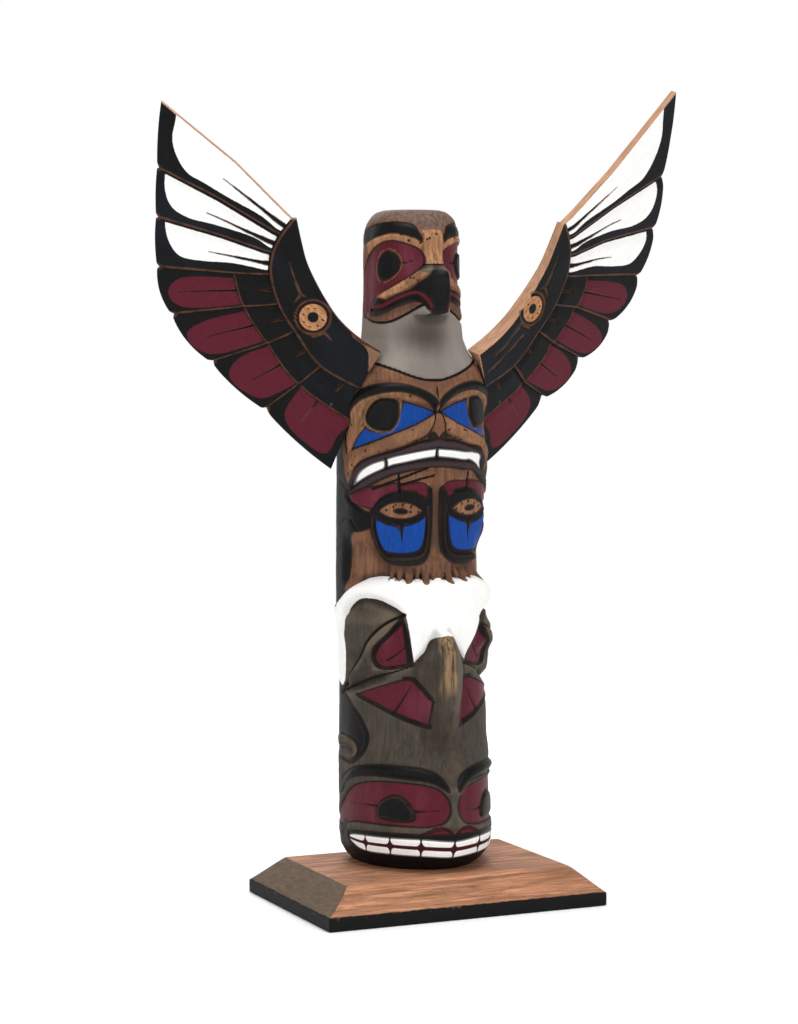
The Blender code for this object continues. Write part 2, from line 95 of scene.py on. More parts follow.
def smooth_line(points, steps=6, closed=False):
    """A smooth line through a few points: each span is the cubic whose slopes come from its neighbours."""
    p = np.array(points, dtype=float)
    if closed:
        ends = np.vstack([p[-1:], p, p[:2]])
    else:
        ends = np.vstack([2 * p[0] - p[1], p, 2 * p[-1] - p[-2]])
    t = np.linspace(0.0, 1.0, steps, endpoint=False)[:, None]
    spans = []
    for a, b, c, d in zip(ends[:-3], ends[1:-2], ends[2:-1], ends[3:]):
        spans.append(0.5 * (2 * b + (c - a) * t + (2 * a - 5 * b + 4 * c - d) * t ** 2
                            + (3 * b - a - 3 * c + d) * t ** 3))
    return np.vstack(spans) if closed else np.vstack(spans + [p[-1:]])


def nearest(u, z, line):
    """Distance from each place to a line of points, and the share of its length at the nearest point."""
    best = np.full(u.shape, 1e9)
    share = np.zeros(u.shape)
    lengths = np.hypot(*np.diff(line, axis=0).T)
    total = max(lengths.sum(), 1e-9)
    run = 0.0
    for (ua, za), (ub, zb), length in zip(line[:-1], line[1:], lengths):
        du = ub - ua
        dz = zb - za
        t = np.clip(((u - ua) * du + (z - za) * dz) / (du * du + dz * dz + 1e-12), 0.0, 1.0)
        gap = np.hypot(u - ua - t * du, z - za - t * dz)
        closer = gap < best
        best = np.where(closer, gap, best)
        share = np.where(closer, (run + t * length) / total, share)
        run += length
    return best, share


def inside(u, z, outline):
    """Distance to a closed outline, more than 0 inside it: the side comes from counting crossings upwards."""
    ring = np.vstack([outline, outline[:1]])
    gap, _ = nearest(u, z, ring)
    within = np.zeros(u.shape, dtype=bool)
    for (ua, za), (ub, zb) in zip(ring[:-1], ring[1:]):
        spans = (za > z) != (zb > z)
        crossing = ua + (z - za) * (ub - ua) / (zb - za if zb != za else 1e-9)
        within ^= spans & (u < crossing)
    return np.where(within, gap, -gap)


def ridge(gap, half_width, height):
    """A rounded bar: full height on its line, falling as a cosine to nothing at its half width."""
    return height * 0.5 * (1.0 + np.cos(np.pi * np.clip(gap / half_width, 0.0, 1.0)))


def value_noise(u, z, cell, seed):
    """Smooth noise between -1 and 1: random values on a lattice of cells, blended with an S curve."""
    lattice = np.random.default_rng(seed).uniform(-1.0, 1.0, (64, 64))
    a = np.asarray(u) / cell
    b = np.asarray(z) / cell
    i = np.floor(a).astype(int)
    j = np.floor(b).astype(int)
    s = ease(a - i, 0.0, 1.0)
    t = ease(b - j, 0.0, 1.0)
    low = lattice[i % 64, j % 64] * (1 - s) + lattice[(i + 1) % 64, j % 64] * s
    high = lattice[i % 64, (j + 1) % 64] * (1 - s) + lattice[(i + 1) % 64, (j + 1) % 64] * s
    return low * (1 - t) + high * t


def box_mean(field, cells):
    """The mean of a grid's values over a square window, with the columns joined round."""
    wide = np.concatenate([field[:, -cells:], field, field[:, :cells]], axis=1)
    tall = np.concatenate([wide[:1].repeat(cells, 0), wide, wide[-1:].repeat(cells, 0)], axis=0)
    for axis in (0, 1):
        sums = np.cumsum(tall, axis=axis)
        lead = np.take(sums, range(2 * cells, sums.shape[axis]), axis=axis)
        trail = np.take(sums, range(0, sums.shape[axis] - 2 * cells), axis=axis)
        tall = (lead - trail) / (2 * cells)
    return tall[:field.shape[0], :field.shape[1]]


def spread(field, cells):
    """A grid's values smoothed by taking the mean over a window twice."""
    return box_mean(box_mean(field, cells), cells)


class Carving:
    """A surface in a flat chart: its places u, z in millimetres, its relief, and the coats of paint on it."""

    def __init__(self, u, z, coats):
        self.u = u
        self.z = z
        self.relief = np.zeros(u.shape)
        self.lines = np.zeros(u.shape)
        self.glint = np.zeros(u.shape)
        self.coats = {name: np.full(u.shape, -FAR) for name in coats}

    def near(self, line):
        """Which places lie close enough to a line for it to matter."""
        low = np.min(line, axis=0) - FAR
        high = np.max(line, axis=0) + FAR
        return (self.u > low[0]) & (self.u < high[0]) & (self.z > low[1]) & (self.z < high[1])

    def cover(self, pick, coat, depth_inside):
        """Lays one coat over the others; coat None leaves bare stained wood."""
        for name, field in self.coats.items():
            if name == coat:
                field[pick] = np.maximum(field[pick], depth_inside)
            else:
                field[pick] = np.minimum(field[pick], -depth_inside)

    def panel(self, coat, outline, raised=0.0, edge=1.8, groove=0.0):
        """A painted panel, raised or sunk with a sloped side, with a knife cut just outside it."""
        line = smooth_line(outline, closed=True)
        pick = self.near(line)
        depth = inside(self.u[pick], self.z[pick], line)
        self.cover(pick, coat, depth)
        self.relief[pick] += raised * ease(depth, -0.5 * edge, 0.5 * edge)
        self.relief[pick] -= groove * np.clip(1.0 - np.abs(depth + 0.3) / 1.1, 0.0, 1.0)

    def worn_edge_glint(self, outline, offset, share=1.0):
        """A thin line of pale worn wood, lightened as a painted highlight, that runs at an offset outside a
        closed outline.
        """
        line = smooth_line(outline, closed=True)
        pick = self.near(line)
        gap = np.abs(inside(self.u[pick], self.z[pick], line) + offset)
        self.glint[pick] = np.maximum(self.glint[pick], share * np.clip((0.62 - gap) / 0.6, 0.0, 1.0))

    def band(self, points, half_width, end_width):
        """The places near a line, their distance to it, and how wide it is beside each of them."""
        line = smooth_line(points)
        pick = self.near(line)
        gap, share = nearest(self.u[pick], self.z[pick], line)
        last = half_width if end_width is None else end_width
        return pick, gap, half_width + (last - half_width) * share

    def stroke(self, coat, points, half_width, end_width=None):
        """A painted band along a line, as wide as stated at its start and at its end."""
        pick, gap, half = self.band(points, half_width, end_width)
        self.cover(pick, coat, half - gap)

    def knife(self, points, half_width, deep, end_width=None):
        """A V cut along a line; lines keeps how much of it one cell of the mesh holds, which the shader
        paints dark as shade in the cut.
        """
        pick, gap, half = self.band(points, half_width, end_width)
        self.relief[pick] -= deep * np.clip(1.0 - gap / (half + 0.5), 0.0, 1.0) * half / half_width
        held = np.clip((half + 0.5 * MESH_CELL - gap) / MESH_CELL, 0.0, 1.0)
        self.lines[pick] = np.maximum(self.lines[pick], held)


# Meshes and pieces

def grid_faces(rows, columns, wrap):
    """Quads of a grid whose rows run upwards and whose columns run to the left seen from outside."""
    across = columns if wrap else columns - 1
    row, column = np.mgrid[0:rows - 1, 0:across]
    right = (column + 1) % columns
    low = row * columns
    high = low + columns
    return np.stack([low + column, low + right, high + right, high + column], axis=-1).reshape(-1, 4)


def end_fans(rows, columns):
    """Triangles that close a wrapped grid: a fan to a point above it and a fan to a point below."""
    column = np.arange(columns)
    after = (column + 1) % columns
    last = (rows - 1) * columns
    top = rows * columns
    return np.vstack([np.stack([last + column, last + after, np.full(columns, top)], axis=-1),
                      np.stack([after, column, np.full(columns, top + 1)], axis=-1)])


def mesh_piece(name, points, quads, triangles, values, material):
    """A smooth mesh at the origin from arrays of points and faces, with one attribute for each value."""
    mesh = bpy.data.meshes.new(name)
    corners = np.concatenate([quads.ravel(), triangles.ravel()]).astype(np.int32)
    starts = np.concatenate([np.arange(len(quads)) * 4, len(quads) * 4 + np.arange(len(triangles)) * 3])
    mesh.vertices.add(len(points))
    mesh.vertices.foreach_set("co", points.astype(np.float32).ravel())
    mesh.loops.add(len(corners))
    mesh.loops.foreach_set("vertex_index", corners)
    mesh.polygons.add(len(starts))
    mesh.polygons.foreach_set("loop_start", starts.astype(np.int32))
    mesh.update(calc_edges=True)
    mesh.validate()
    for key, value in values.items():
        layer = mesh.attributes.new(key, "FLOAT", "POINT")
        layer.data.foreach_set("value", value.astype(np.float32).ravel())
    mesh.shade_smooth()
    mesh.materials.append(material)
    piece = bpy.data.objects.new(name, mesh)
    bpy.context.scene.collection.objects.link(piece)
    return piece


def settle(piece, node):
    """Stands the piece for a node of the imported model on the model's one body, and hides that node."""
    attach(piece, "root")
    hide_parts(node)


class Shader:
    """Short words for building a node material around one Principled shader."""

    def __init__(self, name):
        self.material = bpy.data.materials.new(name)
        self.material.use_nodes = True
        self.nodes = self.material.node_tree.nodes
        self.links = self.material.node_tree.links
        self.surface = self.nodes["Principled BSDF"]
        self.surface.inputs["Specular IOR Level"].default_value = 0.09
        self.place = self.nodes.new("ShaderNodeTexCoord").outputs["Object"]

    def parts(self, vector):
        """The X, Y and Z of a vector."""
        node = self.nodes.new("ShaderNodeSeparateXYZ")
        self.links.new(vector, node.inputs["Vector"])
        return node.outputs

    def lay_grain(self, turn):
        """Turns the places that noises are read at, so that their first axis runs along a wing's length."""
        parts = self.parts(self.place)
        out = self.math("ABSOLUTE", parts["X"])
        c = math.cos(turn)
        s = math.sin(turn)
        along = self.math("ADD", self.math("MULTIPLY", out, c), self.math("MULTIPLY", parts["Z"], s))
        across = self.math("SUBTRACT", self.math("MULTIPLY", parts["Z"], c), self.math("MULTIPLY", out, s))
        joined = self.nodes.new("ShaderNodeCombineXYZ")
        for socket, value in zip(joined.inputs, (along, across, parts["Y"])):
            self.links.new(value, socket)
        self.place = joined.outputs["Vector"]

    def put(self, socket, value):
        """Links an output to a socket, or sets the socket's own value."""
        if isinstance(value, bpy.types.NodeSocket):
            self.links.new(value, socket)
        elif isinstance(value, tuple) and len(value) == 3 and socket.type == "RGBA":
            socket.default_value = (*value, 1.0)
        else:
            socket.default_value = value

    def math(self, operation, *values):
        node = self.nodes.new("ShaderNodeMath")
        node.operation = operation
        for socket, value in zip(node.inputs, values):
            self.put(socket, value)
        return node.outputs[0]

    def mix(self, share, first, second):
        """first where share is 0 and second where it is 1, as colours."""
        node = self.nodes.new("ShaderNodeMix")
        node.data_type = "RGBA"
        self.put(node.inputs["Factor"], share)
        self.put(node.inputs["A"], first)
        self.put(node.inputs["B"], second)
        return node.outputs["Result"]

    def blend(self, share, first, second):
        """first where share is 0 and second where it is 1, as numbers."""
        node = self.nodes.new("ShaderNodeMix")
        self.put(node.inputs["Factor"], share)
        self.put(node.inputs["A"], first)
        self.put(node.inputs["B"], second)
        return node.outputs["Result"]

    def step(self, value, low, high):
        """0 below low and 1 above high, smoothly."""
        node = self.nodes.new("ShaderNodeMapRange")
        node.interpolation_type = "SMOOTHSTEP"
        self.put(node.inputs["Value"], value)
        node.inputs["From Min"].default_value = low
        node.inputs["From Max"].default_value = high
        return node.outputs["Result"]

    def attribute(self, name):
        node = self.nodes.new("ShaderNodeAttribute")
        node.attribute_name = name
        return node.outputs["Fac"]

    def noise(self, size, stretch=(1.0, 1.0, 1.0), detail=3.0, roughness=0.55, distortion=0.0):
        """Noise whose lumps are about size metres, longer along an axis by its stretch."""
        mapping = self.nodes.new("ShaderNodeMapping")
        mapping.inputs["Scale"].default_value = tuple(1.0 / (size * s) for s in stretch)
        self.links.new(self.place, mapping.inputs["Vector"])
        node = self.nodes.new("ShaderNodeTexNoise")
        node.inputs["Scale"].default_value = 1.0
        node.inputs["Detail"].default_value = detail
        node.inputs["Roughness"].default_value = roughness
        node.inputs["Distortion"].default_value = distortion
        self.links.new(mapping.outputs["Vector"], node.inputs["Vector"])
        return node.outputs["Fac"]

    def specks(self, spacing, radius, share):
        """1 inside small dots, about spacing apart, of which only a share are kept."""
        node = self.nodes.new("ShaderNodeTexVoronoi")
        node.inputs["Scale"].default_value = 1.0 / spacing
        self.links.new(self.place, node.inputs["Vector"])
        dot = self.step(node.outputs["Distance"], radius / spacing * 1.3, radius / spacing * 0.7)
        kept = self.math("LESS_THAN", node.outputs["Color"], share)
        return self.math("MULTIPLY", dot, kept)

    def finish(self, colour, roughness, height, depth, strength=1.0):
        """Joins the colour, the roughness and a bump of the given depth in metres to the shader."""
        self.put(self.surface.inputs["Base Color"], colour)
        self.put(self.surface.inputs["Roughness"], roughness)
        bump = self.nodes.new("ShaderNodeBump")
        bump.inputs["Distance"].default_value = depth
        bump.inputs["Strength"].default_value = strength
        self.links.new(height, bump.inputs["Height"])
        self.links.new(bump.outputs["Normal"], self.surface.inputs["Normal"])
        return self.material


# Settings that a user would change

def colour_setting(name, description, value):
    return FloatVectorProperty(name=name, description=description, default=value, subtype="COLOR", size=3,
                               min=0.0, max=1.0)


def length_setting(name, description, value):
    return FloatProperty(name=name, description=description, default=value, min=0.0, subtype="DISTANCE",
                         unit="LENGTH", precision=4)


class TotemPoleSizes(bpy.types.PropertyGroup):
    """Sizes of the carved pole."""

    height: length_setting("Height", "Height of the pole above its foot", POLE_BOX[1].z - POLE_BOX[0].z)
    half_width: length_setting("Half width", "Half the plain pole's width at its widest", 0.0375)
    axis_back: length_setting("Axis back", "How far the pole's axis stands behind the board's middle",
                              0.015)
    back_depth: length_setting("Back depth", "From the axis to the flat back", 0.021)
    top_round_width: length_setting("Top rounding width", "How far the rounded top edge runs in", 0.0105)
    top_round_height: length_setting("Top rounding height", "How far the rounded top edge runs down", 0.015)
    relief: FloatProperty(name="Relief", description="Depth of the carving as a share of the real one",
                          default=1.0, min=0.0, max=1.5, subtype="FACTOR")
    columns_front: IntProperty(name="Front columns", description="Mesh columns over the carved front",
                               default=222, min=40, max=260)
    columns_back: IntProperty(name="Back columns", description="Mesh columns over the back", default=28,
                              min=8, max=60)
    rows: IntProperty(name="Rows", description="Mesh rows up the pole", default=382, min=60, max=400)


class TotemWingSizes(bpy.types.PropertyGroup):
    """Sizes of the two winged boards."""

    length: length_setting("Length", "How far the feathers' corners reach out from the shoulder", 0.0985)
    height: length_setting("Height", "How far the left wing's topmost feather rises above the shoulder",
                           0.1295)
    root_height: length_setting("Root height", "Height of the shoulder on the pole", 0.251)
    root_inset: length_setting("Root inset", "How far the shoulder lies inside the pole's side", 0.0015)
    root_thickness: length_setting("Root thickness", "Thickness of the board at the pole", 0.0085)
    tip_thickness: length_setting("Tip thickness", "Thickness of the board at the feathers' tips", 0.0038)
    sweep: FloatProperty(name="Sweep", description="How far each wing is swept back", subtype="ANGLE",
                         unit="ROTATION", default=math.radians(22.0))
    lean: FloatProperty(name="Lean", description="How far each wing's top leans forward", subtype="ANGLE",
                        unit="ROTATION", default=math.radians(17.0))
    lap: length_setting("Lap", "Step from one feather down to the next", 0.0014)


class TotemBaseSizes(bpy.types.PropertyGroup):
    """Sizes of the base board."""

    side_height: length_setting("Side height", "Height of the upright sides", 0.007)
    bevel_ends: length_setting("End bevel", "How far the bevel runs in from the ends", 0.0145)
    bevel_front: length_setting("Front bevel", "How far the bevel runs in from front and back", 0.0123)
    arris: length_setting("Arris", "Rounding of the board's edges", 0.0008)


class TotemColours(bpy.types.PropertyGroup):
    """Colours of the paints and woods."""

    black: colour_setting("Black", "Matt black paint", linear(17, 17, 18))
    maroon: colour_setting("Dark red", "Dark red paint", linear(86, 27, 39))
    blue: colour_setting("Blue", "Bright blue paint", linear(16, 64, 142))
    white: colour_setting("White", "White paint", linear(242, 241, 238))
    neck: colour_setting("Neck grey", "Light grey paint on the neck", linear(140, 132, 124))
    wash: colour_setting("Grey wash", "Grey-brown wash on the whale and the crown", linear(66, 60, 53))
    stain: colour_setting("Stain", "Brown stain on the bear", linear(118, 82, 62))
    rubbed: colour_setting("Rubbed wood", "Orange-brown wood where the stain is rubbed back",
                           linear(142, 102, 74))
    cedar: colour_setting("Bare cedar", "Unpainted cedar on edges and backs", linear(190, 145, 115))
    oiled: colour_setting("Oiled cedar", "Oiled red-brown cedar of the base board", linear(186, 132, 100))


# The pole: plain section, forms, and painted panels

HALF_WIDTHS = ((0, 30.5), (3, 33.5), (8, 36.5), (15, 37.3), (60, 37.5), (90, 36.8), (145, 37), (200, 36.6),
               (230, 36.6), (240, 36.2), (246, 34.5), (251, 31.5), (256, 27.5), (262, 24.8), (270, 24.0),
               (285, 23.4), (326, 23.2))
FRONT_DEPTHS = ((0, 37), (3, 42), (8, 46.5), (15, 49), (30, 48.5), (40, 47), (51, 43), (63, 36.5),
                (76, 33.5), (92, 33), (110, 34), (130, 33), (140, 30), (145, 26.5), (160, 25.5),
                (185, 26.5), (196, 27.5), (210, 29), (233, 29), (243, 27), (252, 25), (265, 23.8),
                (280, 23), (326, 22))
FRONT_POWERS = ((0, 1.95), (45, 1.9), (70, 2.0), (190, 2.05), (215, 2.2), (240, 2.1), (255, 2.0),
                (326, 2.0))
BACK_POWERS = ((0, 3.6), (60, 3.8), (110, 4.2), (128, 6.5), (200, 6.5), (225, 4.5), (250, 3.4), (326, 3.4))
DRAWN_HEIGHT = 326.0
DRAWN_HALF_WIDTH = 37.5
BIRD_CHART = 24.0
BODY_CHART = 36.0
FRONT_EDGE = 100
CREST_CELLS = 4
CREST_SOFTNESS = 0.9
POLE_COATS = ("black", "maroon", "blue", "white", "neck", "wash", "rubbed", "gum", "lip")
TOP_RINGS = 10

# Degrees past the centre line and past the middle of the back, where outlines run off the visible chart,
# and a place in millimetres that no outline reaches
MID = -12
BACK = 200
OFF_CHART = 500.0

# The bear's toes in millimetres: (middle from the centre line, half width, height of the tip)
TOES = ((3.0, 1.9, 142.9), (8.0, 2.9, 140.9), (13.4, 1.9, 143.3), (18.4, 2.7, 141.4), (23.6, 2.0, 142.8),
        (27.8, 1.5, 143.7))

# The star-shaped gap where four of the whale's teeth meet, in (degrees, millimetres) from its middle
TOOTH_GAP = ((-3.4, 0), (-1.1, 1.7), (0, 4.6), (0, 4.6), (1.1, 1.7), (3.4, 0), (1.1, -1.7), (0, -4.4),
             (0, -4.4), (-1.1, -1.7))

# How the right half is carved out of true, in degrees round the pole and in millimetres
RIGHT_MOUTH_SHORTER = 18.0
RIGHT_MOUTH_HIGHER = 5.0
RIGHT_FLUKE_TURN = 16.0
RIGHT_FLUKE_DROP = 6.0


def plain_radius(angle, height, back):
    """Half an ellipse-like curve in front and a flatter one behind: 1/r^n = (sin/a)^n + (cos/b)^n."""
    wide = through(HALF_WIDTHS, height)
    front = through(FRONT_DEPTHS, height)
    power = through(FRONT_POWERS, height)
    squareness = through(BACK_POWERS, height)
    side = np.abs(np.sin(angle))
    ahead = np.cos(angle)
    fore = ((side / wide) ** power + (np.maximum(ahead, 0.0) / front) ** power) ** (-1.0 / power)
    behind = np.maximum(-ahead, 0.0)
    aft = ((side / wide) ** squareness + (behind / back) ** squareness) ** (-1.0 / squareness)
    return np.where(ahead >= 0.0, fore, aft)


def chart(scale, points):
    """(degrees, height) points as (u, z) points of a chart, u = scale x angle."""
    return [(scale * math.radians(degrees), height) for degrees, height in points]


def bird(points):
    return chart(BIRD_CHART, points)


def body(points):
    return chart(BODY_CHART, points)


def away(u, z, points):
    """Distance from each place to a smooth line."""
    return nearest(u, z, smooth_line(points))[0]


def bird_forms(u, z):
    """Arched brow, cheek and nose bridge, and the hooked beak: its rise by height times its width by u."""
    brow = away(u, z, bird(((14, 311), (24, 316), (45, 317.5), (70, 317), (95, 310))))
    cheek = away(u, z, bird(((4, 299), (16, 294), (34, 288.5), (58, 284.5), (75, 282.5))))
    ahead = 0.2 + 0.8 * ease(-u, -27.0, -16.0)
    relief = (ridge(brow, 5.0, 1.4) + ridge(cheek, 3.4, 1.6)) * ahead
    relief += 1.6 * ease(-u, -6.0, -4.4) * ease(z, 297, 300) * ease(-z, -320, -314)
    rise = through(((274, 0), (274.8, 8.2), (279, 9.2), (288, 10.0), (293, 9.4), (295.5, 7.4), (298.5, 2.4),
                    (308, 0)), z)
    beak = through(((0, 1.0), (3.6, 1.0), (4.6, 0.82), (8.2, 0.2), (11, 0)), u)
    return relief + rise * beak


def bear_forms(u, z):
    """Brow, full cheeks, nose and two lips."""
    brow = away(u, z, body(((1, 231), (12, 235.5), (32, 238.5), (55, 237.5), (74, 232.5), (90, 222))))
    cheek = away(u, z, body(((4, 223), (16, 218.5), (36, 213), (58, 208), (80, 201))))
    upper = away(u, z, body(((0, 210.2), (20, 209), (38, 206), (56, 203), (72, 198), (84, 190))))
    lower = away(u, z, body(((0, 200.4), (36, 198.5), (55, 195), (70, 190), (82, 185))))
    relief = ridge(brow, 4.2, 2.0) + ridge(cheek, 5.0, 2.0) + ridge(upper, 3.0, 1.8) + ridge(lower, 2.6, 1.6)
    relief += 1.2 * ease(-u, -7.0, -2.0) * ease(z, 208, 213) * ease(-z, -226, -219)
    return relief


def right_fluke_shift(degrees, height):
    """How far the right fluke is carved out of true: (degrees nearer the side, millimetres lower)."""
    turn = ease(degrees, 5, 40) * ease(-degrees, -80, -50)
    turn = turn * ease(height, 100, 122) * ease(-height, -141, -131)
    drop = ease(degrees, 38, 56) * ease(-degrees, -100, -80)
    drop = drop * ease(height, 104, 122) * ease(-height, -148, -134)
    return RIGHT_FLUKE_TURN * turn, RIGHT_FLUKE_DROP * drop


def claw_forms(u, z):
    """The hollow beside the belly, and knobbly toes: (middle, half width, tip height), narrower downwards."""
    belly = ease(z, 138, 144.5) * ease(-z, -168, -154)
    relief = -3.6 * belly * ease(u, 26, 38) * ease(-u, -62, -54)
    feet = ease(-z, -150, -145) * ease(-u, -31, -28)
    knuckle = 0.5 * np.cos(2.0 * np.pi * (z - 150) / 5.5) + 0.7 * value_noise(u * 1.6, z, 2.2, 5)
    relief += 1.9 * ease(-z, -157, -151) * ease(z, 142, 145) * ease(-u, -31, -28)
    relief += 1.2 * feet * ease(z, 141, 144) * value_noise(u * 1.2 + 40, z * 0.7, 2.6, 15)
    for middle, half, tip in TOES:
        width = half * ease(z, tip - 1.0, tip + 3.5) + 0.3
        roundness = np.clip(1.0 - ((u - middle) / width) ** 2, 0, 1)
        relief += feet * ease(z, tip, tip + 1.2) * (1.3 + knuckle) * roundness
    return relief


def whale_forms(u, z):
    """Snowy ledge, flukes with their rib and hollow, the upright fin, the brow and the blunt snout."""
    ledge_line = through(body(((0, 142.5), (24, 142.5), (38, 143), (52, 144.5), (69, 143), (85, 137),
                               (105, 128.5))), u)
    fluke = away(u, z, body(((90, 119), (86, 127.5), (70, 133.5), (56, 133), (41, 129.5), (32, 126))))
    rib = away(u, z, body(((35, 123), (46, 119.6), (56, 113.4), (66, 105), (77, 96.6), (88, 90))))
    waist = away(u, z, body(((88, 89), (74, 90.5), (58, 94), (25, 101))))
    side = ease(u, 22, 30) * ease(-u, -60, -52)
    relief = 2.6 * ease(ledge_line - z, -1.0, 1.5) * ease(z - ledge_line, -12, -3)
    relief -= 3.0 * np.clip(1.0 - fluke / 3.2, 0.0, 1.0) * ease(u, 18, 26)
    relief += side * 2.6 * ease(z, 104, 114) * ease(-z, -130, -122)
    relief -= 3.0 * np.clip(1.0 - waist / 4.5, 0.0, 1.0) * ease(u, 24, 34)
    relief += ridge(rib, 3.4, 1.4)
    rise = through(((60, 0), (66, 3.0), (72, 7.0), (80, 10.5), (88, 12.4), (98, 12.6), (108, 11.4),
                    (114, 9.6), (117, 6.0), (118.5, 0)), z)
    flank = through(((56, 9.0), (72, 12.5), (84, 14.0), (98, 14.0), (106, 11.5), (113, 7.0), (118, 4.5)), z)
    relief += rise * np.clip((flank - u) / (flank - 2.4), 0.0, 1.0)
    brow = away(u, z, body(((4, 41), (14, 46.5), (30, 48.5), (54, 49), (78, 45.5), (98, 36.5))))
    relief += ridge(brow, 3.6, 1.4) * ease(-u, -62, -48)
    return relief + 1.0 * ease(-u, -7.0, -2.0) * ease(z, 18, 24) * ease(-z, -46, -38)


def paint_bird(work):
    """Crown wash, rubbed bands, black brow, dark red eye field, pupil, black beak and jaw, and grey neck."""
    work.panel("neck", bird(((MID, 284), (MID, 284), (BACK, 284), (BACK, 284), (BACK, 230), (BACK, 230),
                             (MID, 230), (MID, 230))))
    work.panel("wash", bird(((MID, 283), (MID, 283), (BACK, 276), (BACK, 276), (BACK, 345), (BACK, 345),
                             (MID, 345), (MID, 345))))
    work.panel(None, bird(((MID, 276), (14, 278.6), (21, 277.2), (35.5, 274), (54, 270.8), (71, 270),
                           (88, 270.6), (101, 272), (112, 273), (117, 281), (118, 300), (115, 314),
                           (105, 319.5), (78, 321), (51, 322), (25.5, 320.4), (14, 317), (10, 318),
                           (MID, 318), (MID, 318))))
    work.panel("rubbed", bird(((11, 312), (21, 314), (36, 316), (54, 317), (76, 316), (99, 313), (99, 313),
                               (99, 300), (99, 300), (70, 303), (46, 303), (11, 300), (11, 300))))
    work.panel("rubbed", bird(((MID, 299.4), (MID, 299.4), (12.5, 299.4), (12.5, 299.4), (12.4, 305),
                               (11.5, 310), (13.5, 316.5), (13.5, 316.5), (MID, 318), (MID, 318))))
    work.panel("rubbed", bird(((13, 299.6), (13, 299.6), (20, 297), (36, 292.6), (57, 288), (75, 284.6),
                               (88, 280.6), (88, 280.6), (72, 282), (58, 283.4), (36, 286.6), (22, 290),
                               (14, 293.4), (10, 296.6))))
    work.panel("wash", bird(((MID, 299.4), (MID, 299.4), (13.4, 299.4), (13.4, 299.4), (19, 296), (19, 296),
                             (12, 294.6), (MID, 294))))
    work.panel("black", bird(((112, 317.5), (112, 317.5), (98, 318.8), (78, 319.8), (51, 320.7),
                              (25.5, 319), (18, 315.4), (14.4, 312.6), (15.4, 311.2), (15.4, 311.2),
                              (22, 313), (36, 314.6), (54, 315.4), (76, 314), (99, 312), (112, 310.5),
                              (112, 310.5))), raised=-0.5, groove=0.6)
    work.panel("maroon", bird(((12.5, 303.5), (17, 306.6), (25.5, 308.6), (46, 311), (63, 311), (85, 308),
                               (102, 303.5), (113, 297), (116, 288), (114, 277), (109, 272), (101, 274),
                               (85, 280.2), (75, 284), (57, 287.5), (36, 292), (18, 297), (13, 300))),
               raised=-1.2, edge=2.0, groove=0.5)
    pupil = bird(((78, 299), (74, 303.4), (66, 305.8), (55, 306), (47.5, 304.2), (44, 300.6), (46, 296.4),
                  (54, 293.4), (64, 291.6), (74, 291.8), (78, 294.6)))
    work.panel("black", pupil, raised=1.0, edge=1.4, groove=0.5)
    work.worn_edge_glint(pupil, 1.15, 0.7)
    work.knife(bird(((44, 300.6), (34, 300.6), (21, 302.2))), 0.7, 0.7, end_width=0.15)
    work.panel("black", bird(((MID, 295.8), (MID, 295.8), (5, 295.8), (9, 293.6), (15, 290.4),
                              (31.5, 285.4), (59, 281.4), (75, 282), (86, 280.6), (93, 276.8), (92, 273.4),
                              (80, 273.6), (66, 274.4), (46, 278), (23, 281), (13, 279.4), (9, 276.6),
                              (6.4, 274.4), (6.4, 274.4), (MID, 274.4), (MID, 274.4))), groove=0.4)
    work.stroke("maroon", bird(((84, 277.6), (66, 278.6), (46, 282.2), (23, 285), (13, 282.6), (8, 277.8))),
                1.6, end_width=1.1)
    work.knife(bird(((88, 276.2), (66, 277.2), (46, 280.6), (23, 283), (14, 280.8), (9.6, 276.8))), 0.35,
               1.4)
    work.panel(None, bird(((92, 273.8), (78, 273.6), (64, 275), (46, 277.8), (24, 280.2), (17, 279.2),
                           (17, 279.2), (22, 277.9), (35.5, 275), (54, 271.9), (71, 271.2), (88, 271.8))),
               raised=0.4)
    work.knife(bird(((14, 279), (21, 277.3), (35.5, 274), (54, 270.8), (71, 270.1), (88, 270.6),
                     (104, 272))), 0.6, 1.1)
    work.knife(bird(((2, 308), (1.4, 304), (2, 299.8))), 0.12, 0.4)
    work.knife(bird(((-4, 319), (3, 314), (6, 309))), 0.1, 0.3)
    work.knife(bird(((0, 299.4), (13, 299.4))), 0.4, 0.8)


